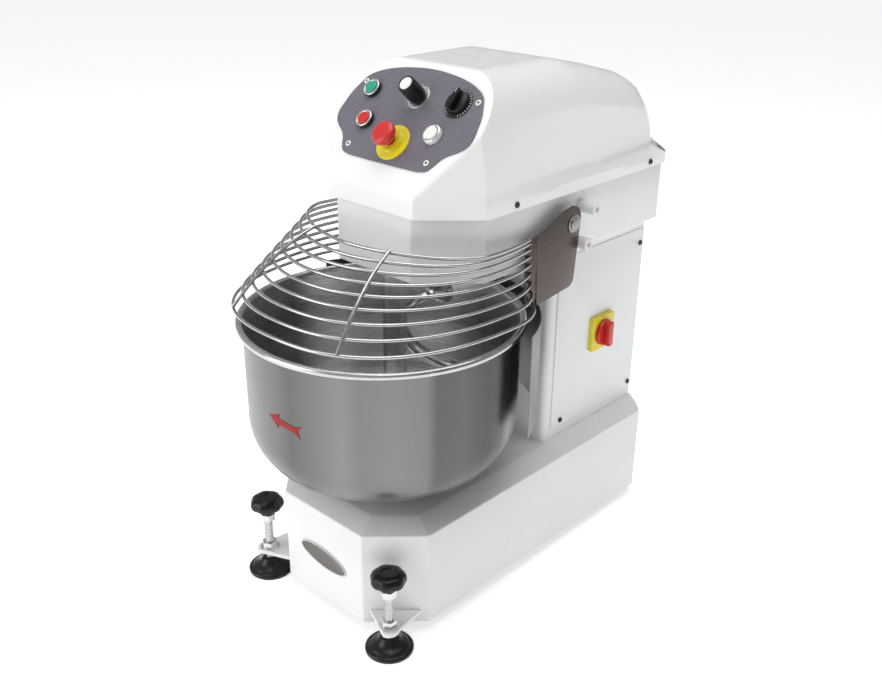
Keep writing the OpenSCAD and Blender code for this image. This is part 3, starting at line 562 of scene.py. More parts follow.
# turns that lay a flat or upright model against a side of the machine
outward = Matrix.Rotation(math.radians(90), 4, "Y")
leftward = Matrix.Rotation(math.radians(-90), 4, "Y")
backward = Matrix.Rotation(math.radians(-90), 4, "X")
forward = Matrix.Rotation(math.radians(90), 4, "X")
sideways = Matrix.Rotation(math.radians(90), 4, "Z") @ forward


# base casing, pressed from sheet with a wide slope round its top

base = {"half": 173, "front": -145, "back": 550, "corner": 77, "rear": 21, "low": 21, "top": 205.5,
        "slope": 38, "rise": 14.5, "sheet": 3}
outline = planOf(base["half"], base["front"], base["back"], base["corner"], base["rear"])
casing = sheetOf(outline, base["top"] - base["rise"] - base["low"])
settle(casing, placed(0, 0, base["low"]))
choose(casing, faces=lambda face: face.normal.z > 0.9)
bpy.ops.mesh.inset(thickness=base["slope"] * mm, use_even_offset=True)
bpy.ops.transform.translate(value=(0, 0, base["rise"] * mm))
bpy.ops.object.mode_set(mode="OBJECT")
# the slope stops at the back, where the top runs straight into the rear wall
backEdge = place(0, base["back"], 0).y
nearBack = base["slope"] + 7
for vertex in casing.data.vertices:
    if vertex.co.z > place(0, 0, base["top"] - 1).z and vertex.co.y > backEdge - nearBack * mm:
        vertex.co.y = backEdge
        vertex.co.x = math.copysign((base["half"] - base["slope"]) * mm, vertex.co.x)
dropFaces(casing, lambda face: face.normal.z < -0.9)
soften(casing, 2.2, angle=8)
modify(casing, "SOLIDIFY", thickness=base["sheet"] * mm, offset=-1)
finish(casing, "baseShell", whitePaint, "frame", ["base_casing"])
print("base is made")


# column with rounded front edges, and the panels screwed to its sides

column = {"half": 132, "front": 271, "back": 547, "low": 205, "top": 584, "edge": 12, "sheet": 3,
          "panelFront": 292, "panelLow": 225.5, "panelTop": 556, "panelOut": 2}
outline = [(column["half"], column["back"]), (-column["half"], column["back"])]
outline += [(-column["half"] + column["edge"] + x, column["front"] + column["edge"] + y)
            for x, y in arc(0, 0, column["edge"], 180, 270)]
outline += [(column["half"] - column["edge"] + x, column["front"] + column["edge"] + y)
            for x, y in arc(0, 0, column["edge"], 270, 360)]
post = sheetOf(outline, column["top"] - column["low"])
settle(post, placed(0, 0, column["low"]))
dropFaces(post, lambda face: abs(face.normal.z) > 0.9)
modify(post, "SOLIDIFY", thickness=column["sheet"] * mm, offset=-1)
finish(post, "columnShell", whitePaint, "frame", ["column_casing"])

width = column["back"] - column["panelFront"]
height = column["panelTop"] - column["panelLow"]
cover = sheetOf([(0, 0), (width, 0), (width, height), (0, height)], column["panelOut"], 4)
soften(cover, 0.7, 2, 60)
settle(cover, placed(column["half"], column["panelFront"], column["panelLow"]) @ sideways)
finish(bothSides(cover), "sidePanels", whitePaint, "frame", ["side_panels"])
print("column is made")


# head casing, a folded box under the hood

head = {"half": 162.4, "front": -16.5, "back": 550, "corner": 80.5, "rear": 12.5, "low": 583, "top": 690,
        "sheet": 3, "edge": 7}
outline = roundedCorners(planOf(head["half"], head["front"], head["back"], head["corner"], head["rear"]),
                         head["edge"])
box = sheetOf(outline, head["top"] - head["low"])
settle(box, placed(0, 0, head["low"]))
soften(box, 2.5, 3, 60)
dropFaces(box, lambda face: face.normal.z > 0.9 and face.center.z > place(0, 0, head["top"] - 1).z)
modify(box, "SOLIDIFY", thickness=head["sheet"] * mm, offset=-1)
finish(box, "headShell", whitePaint, "frame", ["head_casing"])
print("head is made")


# hood: a moulded loft over the head, its section cut level where the operator's face slopes across

hood = {"seam": 689, "front": -24, "back": 550, "half": 173.3, "corner": 79, "rear": 21, "flange": 24,
        "faceY": 89.4, "faceZ": 847.2, "sideEdge": 9, "tailEdge": 3, "frontEdge": 16, "crestEdge": 3.5,
        "wall": 4, "tail": 529, "easeFrom": 50, "easeOver": 180, "easeLow": 9, "easeHigh": 46}
# distance back, half width at the foot, shoulder centre, shoulder radius, crest above the seam
hoodShape = [(-24, 92, 14, 75, 150), (57, 168, 78, 75, 197), (120, 167.3, 78, 75, 197),
             (300, 161, 78, 75, 196.5), (385, 157, 80, 71, 178), (460, 153.3, 82, 66, 159),
             (490, 152, 82, 66, 146), (508, 150, 81, 64, 131), (520, 147.5, 80, 62, 116),
             (527, 145, 79, 58, 96), (529, 141, 78, 54, 72)]
facePoint = place(0, hood["faceY"], hood["faceZ"])


def mixOf(a, b, share):
    return a + (b - a) * share


def blendShape(y):
    # smooth value of every column of the shape at distance y
    for i in range(len(hoodShape) - 1):
        a, b = hoodShape[i], hoodShape[i + 1]
        if y <= b[0]:
            share = (y - a[0]) / (b[0] - a[0])
            return [mixOf(p, q, share) for p, q in zip(a[1:], b[1:])]
    return list(hoodShape[-1][1:])


def flangeHalf(y):
    # plan outline of the flange: 45 degree corners front and back
    return min(hood["half"], hood["half"] - hood["corner"] + (y - hood["front"]),
               hood["half"] - hood["rear"] + (hood["back"] - y))


def topHeight(y, crest):
    # height above the seam of the face or the crest, with both edges of the face rounded
    if y > hood["tail"]:
        return hood["flange"]
    faceRise = hood["faceZ"] - hood["seam"] + (y - hood["faceY"]) * math.tan(slope)
    soft = hood["crestEdge"]
    back = y - hood["front"]
    edge, swing = hood["frontEdge"], math.pi / 2 - slope
    if back < edge * (1 - math.cos(swing)):
        onBand = hood["faceZ"] - hood["seam"] - (hood["faceY"] - hood["front"]) * math.tan(slope)
        return onBand - edge * math.tan(swing / 2) + math.sqrt(edge ** 2 - (edge - back) ** 2)
    return -soft * math.log(math.exp(-faceRise / soft) + math.exp(-crest / soft))


def hoodArch(y):
    # half a section from the seam over the flange and the wall to the crest
    wall, centre, radius, crest = blendShape(min(y, hood["tail"]))
    foot = flangeHalf(y)
    wall = min(wall, foot - 0.4)
    step = min(1, max(0, (y - hood["easeFrom"]) / hood["easeOver"]))
    low = mixOf(hood["easeLow"], hood["flange"] - 5, step)
    high = mixOf(hood["easeHigh"], hood["flange"] + 6, step)
    arch = [(foot, 0)]
    for k in range(9):
        ease = (k / 8) ** 2 * (3 - k / 4)
        arch.append((mixOf(foot, wall, ease), mixOf(low, high, k / 8)))
    dx, dz = wall - centre, high - (crest - radius)
    lean = math.degrees(math.atan2(dz, dx) + math.acos(min(1, radius / math.hypot(dx, dz))))
    return arch + arc(centre, crest - radius, radius, lean, 90, 24)


def alongLine(line, count):
    # evenly spaced points on a line of straight pieces
    spans = [math.dist(a, b) for a, b in zip(line, line[1:])]
    points = []
    for k in range(count + 1):
        left = sum(spans) * k / count
        i = 0
        while i < len(spans) - 1 and left > spans[i]:
            left -= spans[i]
            i += 1
        share = left / spans[i] if spans[i] else 0
        points.append((mixOf(line[i][0], line[i + 1][0], share), mixOf(line[i][1], line[i + 1][1], share)))
    return points


def hoodRow(y):
    # whole section at y: arch, rounded corner and flat top, mirrored
    samples, archSteps, cornerSteps, topSteps = 400, 26, 8, 8
    crest = blendShape(min(y, hood["tail"]))[3]
    top = topHeight(y, crest)
    arch = hoodArch(y) if y <= hood["tail"] else [(flangeHalf(y), 0), (flangeHalf(y), crest)]
    kept = [arch[0]]
    for a, b in zip(arch, arch[1:]):
        if b[1] >= top:
            share = (top - a[1]) / (b[1] - a[1])
            kept.append((mixOf(a[0], b[0], share), top))
            break
        kept.append(b)
    corner = kept[-1]
    rise, run = corner[1] - kept[-2][1], kept[-2][0] - corner[0]
    edge = hood["sideEdge"] if y <= hood["tail"] else hood["tailEdge"]
    reach = max(0.6, edge * math.tan(math.atan2(rise, run) / 2))
    fine = alongLine(kept, samples)
    total = sum(math.dist(a, b) for a, b in zip(kept, kept[1:]))
    stay = max(4, int(samples * (1 - min(0.9, reach / total))))
    half = alongLine(fine[:stay + 1], archSteps)
    first, last = half[-1], (max(1, corner[0] - reach), top)
    for k in range(1, cornerSteps + 1):
        t = k / cornerSteps
        half.append(tuple(mixOf(mixOf(f, c, t), mixOf(c, g, t), t) for f, c, g in zip(first, corner, last)))
    half += [(last[0] * (1 - k / topSteps), top) for k in range(1, topSteps)]
    return half + [(0, top)] + [(-x, z) for x, z in reversed(half)]


# sections lie close together where the front, the crest and the tail are rounded
stationsY = [hood["front"] + v for v in (0, 0.15, 0.6, 1.4, 2.6, 4.1, 7, 12, 20, 30, 42, 54, 64, 72, 77, 81,
                                         86, 94, 104, 116, 126, 133, 138, 142, 145, 148, 151, 155, 160, 168)]
stationsY += [155 + 20 * i for i in range(9)]
stationsY += [330, 350, 368, 385, 402, 420, 440, 460, 475, 490, 499, 508, 515, 520, 524, 527, 529, 529.3, 534,
              542, 550]
rows = [hoodRow(y) for y in stationsY]
count = len(rows[0])
clearSelection()
bpy.ops.mesh.primitive_grid_add(x_subdivisions=count - 1, y_subdivisions=len(rows) - 1, location=(0, 0, 0))
shell = bpy.context.object
for j, (y, row) in enumerate(zip(stationsY, rows)):
    for i, (x, z) in enumerate(row):
        shell.data.vertices[j * count + i].co = place(x, y, hood["seam"] + z)
frontY, backY = place(0, stationsY[0], 0).y, place(0, stationsY[-1], 0).y
for endY in (frontY, backY):
    choose(shell, points=lambda co: abs(co.y - endY) < 0.01 * mm)
    bpy.ops.mesh.edge_face_add()
bpy.ops.mesh.select_all(action="SELECT")
bpy.ops.mesh.remove_doubles(threshold=0.02 * mm)
turnOutward()
modify(shell, "SOLIDIFY", thickness=hood["wall"] * mm, offset=-1)
finish(shell, "hoodShell", hoodPaint, "frame", ["hood"], angle=40)
print("hood is made")


# operator's panel and its controls

onFace = Matrix.Translation(facePoint) @ Matrix.Rotation(slope, 4, "X")
panel = {"thick": 2, "bead": 0.4,
         "edge": [(0, 40.5), (38, 38), (78, 31), (104, 22), (122, 10.5), (132, -7), (139, -25), (142, -43),
                  (143.6, -59), (140, -72), (129, -83), (115, -92), (106, -101), (99, -113), (92, -122),
                  (80, -126), (50, -127.5), (0, -128)],
         "screws": [(119.9, 0), (-119.9, 0), (85.4, -110.8), (-85.4, -110.8)]}


def faceSpot(at, out=panel["thick"]):
    # a point of the sloped face, out from it in millimetres
    return onFace @ Matrix.Translation((at[0] * mm, at[1] * mm, out * mm))


clearSelection()
bpy.ops.curve.primitive_bezier_circle_add(location=(0, 0, 0))
film = bpy.context.object
film.data.splines.clear()
edge = film.data.splines.new("BEZIER")
around = panel["edge"] + [(-x, v) for x, v in reversed(panel["edge"][1:-1])]
edge.bezier_points.add(len(around) - 1)
for point, (x, v) in zip(edge.bezier_points, around):
    point.co = (x * mm, v * mm, 0)
    point.handle_left_type = point.handle_right_type = "AUTO"
edge.use_cyclic_u = True
edge.resolution_u = 6
film.data.dimensions = "2D"
film.data.fill_mode = "BOTH"
film.data.extrude = (panel["thick"] / 2 - panel["bead"]) * mm
film.data.bevel_depth = panel["bead"] * mm
film.data.bevel_resolution = 2
film.select_set(True)
bpy.ops.object.convert(target="MESH")
film = bpy.context.object
settle(film, faceSpot((0, 0), panel["thick"] / 2))
finish(film, "controlPanel", panelFilm, "frame", ["control_panel"])

buttons = {"start_button": ((-96, -12), greenPlastic, "green_plastic", "startButton"),
           "stop_button": ((-76, -66), redPlastic, "red_plastic", "stopButton"),
           "jog_button": ((71, -66), whitePlastic, "white_plastic", "jogButton")}
rings = []
for node, (at, material, slotName, pieceName) in buttons.items():
    ring = spun([(11.3, 0), (15.3, 0), (15.5, 0.6), (15.5, 6), (15, 6.8), (11.3, 6.8), (11.3, 0)])
    coated(ring, whitePlastic if node == "jog_button" else darkPlastic)
    rim = spun([(11.3, 6.7), (14.9, 6.7), (14.8, 7.6), (14, 8), (12, 8), (11.3, 7.6), (11.3, 6.7)])
    ring = joined([ring, coated(rim, buttonRing)])
    settle(ring, faceSpot(at))
    rings.append(ring)
    cap = spun([(0, -18), (8, -18), (8, 2), (10.8, 2.1), (10.8, 8.5), (10.2, 9.3), (8, 9.5), (0, 9.2)])
    soften(cap, 0.3, 2, 40)
    settle(cap, faceSpot(at))
    finish(cap, pieceName, material, node, [node])
finish(joined(rings), "buttonRings", buttonRing, "frame", ["button_bezels"])

stop = {"at": (3, -92), "collar": 30}
r = stop["collar"]
collar = spun([(9, 0), (r, 0), (r, 2), (r - 1, 3), (19, 3.1), (19, 4.4), (17.4, 4.9), (17.4, 5.7),
               (18.4, 6.2), (18.4, 7.3), (17.6, 8), (9, 8), (9, 0)], 72)
settle(collar, faceSpot(stop["at"]))
finish(collar, "stopCollar", yellowPlastic, "frame", ["estop_collar"])
mushroom = spun([(0, -22), (8, -22), (8, 14), (12.8, 14.5), (14, 17), (18, 21.5), (19.6, 23.5), (20, 26),
                 (19.6, 29.5), (18.2, 32.2), (15, 33.6), (9, 34), (0, 33.2)], 72)
settle(mushroom, faceSpot(stop["at"]))
finish(mushroom, "stopMushroom", redPlastic, "estop", ["estop_mushroom"], angle=50)

dials = {"speed": (3, -10), "timer": (85, -8), "speedRing": 20, "timerRing": 25, "plate": 1.2, "hole": 5.5,
         "ticks": 27, "sweep": 300, "tickFrom": 21, "speedTall": 36, "speedFlutes": 12, "timerRadius": 19,
         "timerTall": 18, "timerTeeth": 24, "stem": 5}
scales = []
for at, ringRadius, ringMetal in ((dials["timer"], dials["timerRing"], darkPlastic),
                                  (dials["speed"], dials["speedRing"], dialMetal)):
    disc = spun([(dials["hole"], 0), (ringRadius, 0), (ringRadius, 0.8), (ringRadius - 0.5, dials["plate"]),
                 (dials["hole"], dials["plate"]), (dials["hole"], 0)], 72)
    settle(coated(disc, ringMetal), faceSpot(at))
    scales.append(disc)
finish(joined(scales), "dialScales", dialMetal, "frame", ["dial_scales"])
dark = sheetOf([(-0.45, 0), (0.45, 0), (0.45, 5.5), (-0.45, 5.5)], 0.2)
pale = sheetOf([(-0.4, 0), (0.4, 0), (0.4, 3), (-0.4, 3)], 0.2)
ticks = []
outTo = Matrix.Translation((0, dials["tickFrom"] * mm, 0))
for i in range(dials["ticks"]):
    swing = dials["sweep"] / 2 - dials["sweep"] * i / (dials["ticks"] - 1)
    swing = Matrix.Rotation(math.radians(swing), 4, "Z")
    for mark, spot, material in ((dark, faceSpot(dials["speed"]), dialMetal),
                                 (pale, faceSpot(dials["timer"], panel["thick"] + 1.1), whitePlastic)):
        ticks.append(coated(copyOf(mark, spot @ swing @ outTo), material))
for mark in (dark, pale):
    bpy.data.objects.remove(mark)
finish(joined(ticks), "dialTicks", whitePlastic, "frame")

# speed knob: a tall fluted sleeve with a white disc on its end
tall = dials["speedTall"]
stem = dials["stem"]
sleeve = spun([(0, -15), (stem, -15), (stem, 1.6), (15, 1.6), (15, 4.5), (14.8, 6.5), (14.2, tall - 0.4),
               (13.6, tall + 1), (12.4, tall + 1.6), (11, tall + 1.2), (10.4, tall + 0.9),
               (0, tall + 0.9)], 96)
fluted(sleeve, 6, 12, lambda turn, reach: 0.045 * max(0, math.cos(dials["speedFlutes"] * turn)) ** 2)
end = spun([(0, tall + 0.5), (10.4, tall + 0.5), (10.4, tall + 1.3), (9.8, tall + 1.6), (0, tall + 1.5)], 64)
whole = joined([coated(sleeve, blackPlastic), coated(end, whitePlastic)])
settle(whole, faceSpot(dials["speed"]))
finish(whole, "speedKnob", blackPlastic, "speed_knob", ["speed_knob"])

# timer knob: a low disc with a bar across it
r = dials["timerRadius"]
disc = spun([(0, -15), (stem, -15), (stem, 1.6), (r, 1.6), (r, 6.6), (r - 0.8, 8), (r - 2.4, 8.6), (0, 8.6)],
            96)
fluted(disc, 1.4, r - 1.2, lambda turn, reach: 0.025 * max(0, math.cos(dials["timerTeeth"] * turn)))
grip = sheetOf([(-2.6, -17.6), (2.6, -17.6), (3.9, -6), (3.9, 6), (2.2, 17.8), (-2.2, 17.8), (-3.9, 6),
                (-3.9, -6)],
               dials["timerTall"] - 7, 1)
soften(grip, 0.8, 3, 40)
settle(grip, raised(8))
stripe = sheetOf([(-0.4, 9), (0.4, 9), (0.4, 17), (-0.4, 17)], 0.2)
settle(stripe, raised(dials["timerTall"] + 0.95))
whole = joined([coated(disc, blackPlastic), coated(grip, blackPlastic), coated(stripe, whitePlastic)])
settle(whole, faceSpot(dials["timer"]))
finish(whole, "timerKnob", blackPlastic, "timer_knob", ["timer_knob"])
print("controls are made")


# screws: one modelled, copies set in the hood, panel and column

screw = {"radius": 5, "height": 3, "socket": 2.1, "hoodY": (120, 482), "hoodUp": 10,
         "sideAt": ((318, 236.5), (536, 238.5), (536, 528), (318, 545)), "rearX": 108, "rearZ": (240.5, 548)}
model = spun([(0, 0), (screw["radius"], 0), (screw["radius"], 1), (4.7, 1.9), (3.6, screw["height"]),
              (screw["socket"], screw["height"] + 0.1), (screw["socket"], 1.2), (0, 1.1)], 28)
spots = []
for side, aim in ((1, outward), (-1, leftward)):
    for y in screw["hoodY"]:
        spots.append(placed(side * hood["half"], y, hood["seam"] + screw["hoodUp"]) @ aim)
    for y, z in screw["sideAt"]:
        spots.append(placed(side * (column["half"] + column["panelOut"]), y, z) @ aim)
    for z in screw["rearZ"]:
        spots.append(placed(side * screw["rearX"], column["back"] + 2, z) @ backward)
coated(model, socketSteel)
screws = [copyOf(model, spot) for spot in spots]
ring = spun([(0, 0), (4.8, 0), (4.8, 0.8), (4.2, 1.5), (2.6, 1.7), (2.2, 1.3), (2.2, 0.6), (0, 0.6)], 32)
# a dark disc on the ring's floor stands for the hole in its middle: painted shade
hole = spun([(0, 0.5), (2.1, 0.5), (2.1, 0.75), (0, 0.75)], 24)
pale = joined([coated(ring, whitePlastic), coated(hole, darkPlastic)])
screws += [copyOf(pale, faceSpot(at)) for at in panel["screws"]]
for part in (model, pale):
    bpy.data.objects.remove(part)
finish(joined(screws), "casingScrews", socketSteel, "frame", ["casing_screws"])
print("screws are set")


# main switch on the right side

switch = {"y": 424, "z": 384, "side": 66, "thick": 9, "disc": 25, "discTop": 14, "gripTall": 12}
half = switch["side"] / 2
plate = sheetOf([(-half, -half), (half, -half), (half, half), (-half, half)], switch["thick"], 5)
soften(plate, 1.4, 3, 50)
switchAt = placed(column["half"] + column["panelOut"], switch["y"], switch["z"]) @ sideways
settle(plate, switchAt)
finish(plate, "switchPlate", yellowPlastic, "frame", ["switch_plate"])
r = switch["disc"]
disc = spun([(0, -30), (11.5, -30), (11.5, 9.3), (r - 0.4, 9.3), (r, 10), (r, switch["discTop"]),
             (r - 1.6, 16.6), (0, 16.8)], 72)
grip = sheetOf([(-7, 1 - r), (7, 1 - r), (7, r - 1), (-7, r - 1)], switch["gripTall"], 4)
soften(grip, 1.8, 3, 50)
settle(grip, raised(switch["discTop"] + 2))
knob = joined([disc, grip])
settle(knob, switchAt)
finish(knob, "switchKnob", redPlastic, "main_switch", ["switch_knob"])
print("main switch is made")


# guard: nine bent wires, two ribs, and the plates they are welded to

guard = {"wires": 9, "wire": 6, "hingeY": 254, "hingeZ": 641, "plateX": 184, "plateT": 2.5, "topZ": 637,
         "lowZ": 532, "steps": 72, "ribTop": 84, "ribLow": 122, "ribSteps": 16, "hook": 9, "reachIn": 6,
         "stripWide": 20, "stripTurn": 249.6, "stopsAt": ((43, 17), (27, -39))}
# each wire's measures as a quadratic in its share of the way from the top wire down
wireShape = {"width": (191, -15, 54), "front": (-76, -184, 34), "middle": (45, 8, 0), "power": (1.8, 0.66, 0),
             "frontZ": (646, -58, -50), "endY": (152, 6, 0)}


def signedPower(value, power):
    return math.copysign(abs(value) ** power, value)


def wireMeasures(s):
    width, front, middle, power, frontZ, endY = [a + b * s + c * s * s for a, b, c in wireShape.values()]
    endZ = mixOf(guard["topZ"], guard["lowZ"], s ** 1.35)
    return width, front, middle, power, frontZ, endY, endZ


def wirePoint(s, u):
    # point at share u along wire s, a superellipse bent down towards its ends
    width, front, middle, power, frontZ, endY, endZ = wireMeasures(s)
    reach = ((guard["plateX"] - guard["reachIn"]) / width) ** power
    start = math.asin(math.sqrt(1 - reach))
    angle = mixOf(-start, math.pi + start, u)
    back = (endY - middle) / (1 - reach) ** (1 / power)
    rise = math.sin(angle)
    if rise > 0:
        y = middle - (middle - front) * rise ** (2 / power)
    else:
        y = middle + back * (-rise) ** (2 / power)
    share = (endY - y) / (endY - front)
    return place(width * signedPower(math.cos(angle), 2 / power), y, mixOf(endZ, frontZ, share))


def ribPoint(s, side):
    # where a rib crosses wire s, lying on top of it
    width, front, middle, power, frontZ, endY, endZ = wireMeasures(s)
    x = mixOf(guard["ribTop"], guard["ribLow"], s)
    y = middle - (middle - front) * (1 - (x / width) ** power) ** (1 / power)
    z = mixOf(endZ, frontZ, (endY - y) / (endY - front))
    return place(side * x, y - 2, z + guard["wire"] / 2)


wires = []
for i in range(guard["wires"]):
    s = i / (guard["wires"] - 1)
    line = [wirePoint(s, k / guard["steps"]) for k in range(guard["steps"] + 1)]
    for end in (0, -1):
        # each wire ends in a short hook bent back over the plate's edge
        inward = Vector((-math.copysign(3, line[end].x), guard["hook"], 1.5)) * mm
        tip = line[end] + inward
        line = [tip] + line if end == 0 else line + [tip]
    wires.append(barAlong(line, guard["wire"] / 2 - 0.3))
for side in (1, -1):
    rib = [ribPoint(k / guard["ribSteps"], side) for k in range(guard["ribSteps"] + 1)]
    wires.append(barAlong(rib, guard["wire"] / 2 - 0.3))
finish(joined(wires), "guardWires", wireSteel, "guard", ["guard_cage"], angle=60)

y, z = guard["hingeY"], guard["hingeZ"]
outline = [(y + 13, z + 24), (y - 2, z + 31), (y - 27, z + 27), (y - 49, z + 17), (y - 73, z + 6),
           (y - 95.6, z - 1), (y - 87.6, z - 118), (y, z - 108), (y + 8, z - 100), (y + 19, z + 11)]
plateX, plateT = guard["plateX"], guard["plateT"]
wing = sheetOf(outline, plateT, 5)
soften(wing, 0.5, 2, 60)
settle(wing, placed(plateX - plateT, 0, 0) @ sideways)
wide, tall = guard["stripWide"], guard["topZ"] - guard["lowZ"] + 12
strip = sheetOf([(0, 0), (wide, 0), (wide, plateT), (0, plateT)], tall)
soften(strip, 0.5, 2, 60)
turnStrip = Matrix.Rotation(math.radians(guard["stripTurn"]), 4, "Z")
settle(strip, placed(plateX - plateT, y - 92, guard["lowZ"] - 10) @ turnStrip)
rightPlate = joined([wing, strip])
leftPlate = mirrored(rightPlate)
finish(rightPlate, "guardPlateRight", plateSteel, "guard", ["guard_plate_right"])
finish(leftPlate, "guardPlateLeft", plateSteel, "guard", ["guard_plate_left"])

pivot = {"pin": 8, "washer": 15, "boss": 14, "head": 11}
pin, wide, cap = pivot["pin"], pivot["washer"], pivot["head"]
bolt = spun([(0, -35), (pin, -35), (pin, 0.1), (wide, 0.1), (wide, 1.6), (11.5, 1.9), (cap, 2), (cap, 4.2),
             (9.4, 5), (0, 5)], 48)
soften(bolt, 0.3, 2, 40)
settle(bolt, placed(plateX, y, z) @ outward)
sleeve = spun([(pin, 0), (pivot["boss"], 0), (pivot["boss"], 18.4), (pin, 18.4), (pin, 0)], 48)
soften(sleeve, 0.8, 2, 40)
settle(sleeve, placed(head["half"] + 0.6, y, z) @ outward)
finish(bothSides(joined([bolt, sleeve])), "guardPivots", pivotSteel, "guard", ["guard_pivots"])

buffers = []
for dy, dz in guard["stopsAt"]:
    buffer = spun([(0, 0), (10.5, 0), (10.5, 33.6), (9, 35.6), (5, 35.6), (4.6, 34.6), (4.6, 29), (3, 28.4),
                   (0, 28.4)], 48)
    settle(buffer, placed(head["half"], y + dy, z + dz) @ outward)
    buffers += [buffer, mirrored(buffer)]
finish(joined(buffers), "guardStops", whitePlastic, "frame", ["guard_stops"])
print("guard is made")


# bowl with a rolled rim

bowl = {"rim": 229, "bead": 6, "wall": 224, "sheet": 2.5, "low": 245, "top": 511, "corner": 98}
flat = bowl["wall"] - bowl["corner"]
turnZ = bowl["low"] + bowl["corner"]
profile = [(0, bowl["low"])] + arc(flat, turnZ, bowl["corner"], -90, 0, 20)
profile += arc(bowl["rim"], bowl["top"] - bowl["bead"], bowl["bead"], -146, 90, 12)
profile += arc(bowl["rim"], bowl["top"] - bowl["bead"], bowl["bead"], 100, 150, 4)
profile += [(bowl["wall"] - bowl["sheet"], bowl["top"] - 8)]
profile += arc(flat, turnZ, bowl["corner"] - bowl["sheet"], 0, -90, 20) + [(0, bowl["low"] + bowl["sheet"])]
pan = coated(spun(profile, 144), bowlSteel, bowlInside, rimSteel)
# faces that look inwards, and the floor, take the bright inside copy of the steel and the rest the dark
# outside copy, which is painted reflection; the band round the rim takes the polished rim steel
for face in pan.data.polygons:
    outwards = face.normal.x * face.center.x + face.normal.y * face.center.y
    if outwards < 0 or face.normal.z > 0.3 and face.center.z < (bowl["top"] - 20) * mm:
        face.material_index = 1
    reach = math.hypot(face.center.x, face.center.y)
    if face.center.z > (bowl["top"] - 13) * mm and reach > (bowl["wall"] - 1) * mm:
        face.material_index = 2
settle(pan, placed(0, 0, 0))
finish(pan, "bowlPan", bowlSteel, "bowl", ["bowl"], angle=50)
print("bowl is made")


# spiral and breaker bar

spiral = {"y": 134, "radius": 66, "bar": 11, "hub": 23, "top": 505, "low": 285.5, "turns": 0.85, "lead": 0.25,
          "start": 135, "tip": 0.72, "steps": 132, "taper": 7}
coil = []
tapers = []
for i in range(spiral["steps"] + 1):
    u = i / spiral["steps"]
    whole = spiral["turns"] + spiral["lead"]
    angle = math.radians(spiral["start"] + 360 * whole * u)
    lead = min(1, u * whole / spiral["lead"])
    drawn = max(0, (u - spiral["tip"]) / (1 - spiral["tip"]))
    r = spiral["radius"] * math.sin(math.pi / 2 * lead) * (1 - 0.5 * drawn * drawn)
    z = mixOf(spiral["top"], spiral["low"], u)
    coil.append(place(r * math.cos(angle), spiral["y"] + r * math.sin(angle), z))
    end = max(0, (i - spiral["steps"] + spiral["taper"]) / spiral["taper"])
    tapers.append(max(0.25, math.sqrt(1 - min(0.99, end * end))))
bar = barAlong(coil, spiral["bar"], 6, tapers)
r = spiral["hub"]
hub = spun([(0, 0), (r - 2, 0), (r, 2), (r, 20), (r - 1.5, 22), (0, 22)], 64)
settle(hub, placed(0, spiral["y"], spiral["top"] - 12))
finish(joined([bar, hub]), "spiralTool", spiralSteel, "spiral", ["spiral_tool"], angle=50)

breaker = {"y": 28, "radius": 20, "neck": 14, "low": 259.5, "shoulder": 583, "top": 606, "edge": 5}
r, edge, neck = breaker["radius"], breaker["edge"], breaker["neck"]
z, top = breaker["shoulder"], breaker["top"]
post = spun([(0, breaker["low"])] + arc(r - edge, breaker["low"] + edge, edge, -90, 0, 5)
            + [(r, z - 8), (r, z), (neck, z), (neck, z + 11), (r, z + 11), (r, top), (0, top)], 64)
settle(post, placed(0, breaker["y"], 0))
finish(post, "breakerBar", barSteel, "frame", ["breaker_bar"])
print("tools are made")


# oval badge on the base, left plain

badge = {"wide": 57, "high": 18.7, "z": 102, "tilt": -5}
ovalPoints = [(badge["wide"] * math.cos(math.tau * i / 72), badge["high"] * math.sin(math.tau * i / 72))
              for i in range(72)]
oval = coated(sheetOf(ovalPoints, 1.9), badgeMetal, badgeRim)
for face in oval.data.polygons:
    face.material_index = 1
choose(oval, faces=lambda face: face.normal.z > 0.9)
bpy.ops.mesh.inset(thickness=2.2 * mm)
bpy.ops.mesh.extrude_region_move(TRANSFORM_OT_translate={"value": (0, 0, -0.6 * mm)})
oval.active_material_index = 0
bpy.ops.object.material_slot_assign()
bpy.ops.object.mode_set(mode="OBJECT")
soften(oval, 0.3, 2, 40)
tilted = forward @ Matrix.Rotation(math.radians(badge["tilt"]), 4, "Z")
settle(oval, placed(0, base["front"], badge["z"]) @ tilted)
finish(oval, "badge", badgeMetal, "frame", ["badge"])


# front feet: bracket, nut, threaded spindle with a star knob, and a swivel pad

foot = {"x": 155, "y": -142, "bracketZ": 38, "bracketT": 8, "spindle": 7.5, "pitch": 2, "knobZ": 122,
        "pad": 40, "lobes": 7, "nutAcross": 24, "nutTall": 13}
cornerIn = base["half"] - base["corner"]
bracket = sheetOf([(foot["x"] + 4 + x, foot["y"] - 4 + v) for x, v in arc(0, 0, 17, -80, 35, 10)]
                  + [(base["half"] - 8, base["front"] + base["corner"] - 9),
                     (cornerIn + 9, base["front"] + 8)], foot["bracketT"])
soften(bracket, 1.2, 3, 40)
settle(bracket, placed(0, 0, foot["bracketZ"]))
finish(bothSides(bracket), "footBrackets", whitePaint, "frame", ["foot_brackets"])


def hexNut():
    clearSelection()
    tall = foot["nutTall"] * mm
    bpy.ops.mesh.primitive_cylinder_add(vertices=6, radius=foot["nutAcross"] / math.sqrt(3) * mm, depth=tall,
                                        location=(0, 0, tall / 2))
    nut = bpy.context.object
    settle(nut)
    choose(nut, faces=lambda face: abs(face.normal.z) > 0.9)
    bpy.ops.mesh.inset(thickness=1.2 * mm)
    bpy.ops.object.mode_set(mode="OBJECT")
    soften(nut, 0.7, 2, 25)
    return nut


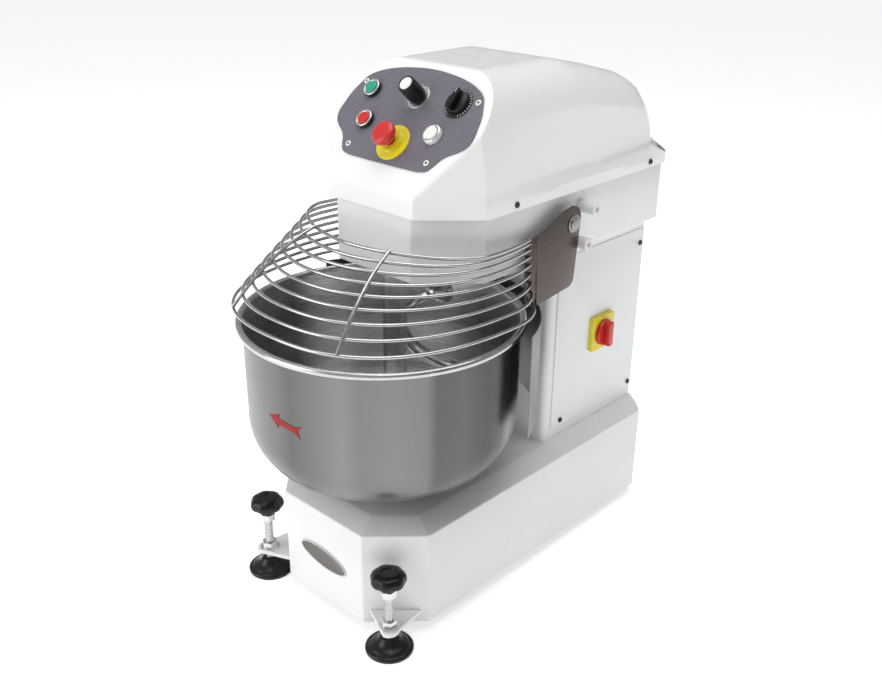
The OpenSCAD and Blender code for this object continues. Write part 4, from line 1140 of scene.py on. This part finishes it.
washer = spun([(0, 0), (17, 0), (17, 1.5), (12, 3), (0, 3)], 48)
nut = joined([hexNut(), washer])
settle(nut, placed(foot["x"], foot["y"], foot["bracketZ"] + foot["bracketT"]))
finish(bothSides(nut), "footNuts", zincPlate, "frame", ["foot_nuts"])


def starBite(turn, reach):
    # hollows between the star's lobes, deepest at the edge
    share = min(1, (reach - 15) / 13)
    return 0.06 * share * (0.5 - 0.5 * math.cos(foot["lobes"] * turn)) ** 1.5


for side, word in ((1, "right"), (-1, "left")):
    r, knobZ = foot["spindle"], foot["knobZ"]
    profile = [(0, 16), (6, 16), (7, 18), (7.4, 24)]
    z = 26
    while z < knobZ - 20:
        profile += [(r, z), (r, z + 0.5), (r - 1, z + 1), (r - 1, z + 1.4)]
        z += foot["pitch"]
    profile += [(r, knobZ - 18), (r, knobZ - 2), (0, knobZ - 2)]
    rod = spun(profile, 32)
    lockNut = hexNut()
    settle(lockNut, raised(knobZ - 17))
    star = spun([(0, -4), (12, -4), (13, -3), (14, 2), (17, 6), (24, 8), (28.5, 11), (30, 15), (29.5, 20),
                 (27, 25), (22, 28.5), (15, 30), (12, 29.6), (11, 28), (0, 27.6)], 84)
    fluted(star, 4, 15, starBite)
    settle(star, raised(knobZ))
    whole = joined([coated(star, blackPlastic), coated(rod, zincPlate), coated(lockNut, zincPlate)])
    settle(whole, placed(side * foot["x"], foot["y"], 0))
    finish(whole, "footSpindle" + word.capitalize(), blackPlastic, "spindle_" + word,
           ["foot_spindle_" + word])
    r = foot["pad"]
    pad = spun([(0, 0.4), (r - 3, 0.4), (r - 1, 0), (r, 1.2), (r, 5.5), (r - 1.2, 7), (r - 4, 8.6),
                (r - 7, 9.2), (r - 8, 10.4), (r - 13, 13), (r - 17, 15.6), (20, 18), (17.5, 21.5), (15, 24.5),
                (12, 26.6), (9, 27), (8, 26.6), (7.8, 16), (0, 16)], 84)
    settle(pad, placed(side * foot["x"], foot["y"], 0))
    finish(pad, "footPad" + word.capitalize(), padRubber, "foot_" + word,
           ["foot_pad_" + word])
print("feet are made")
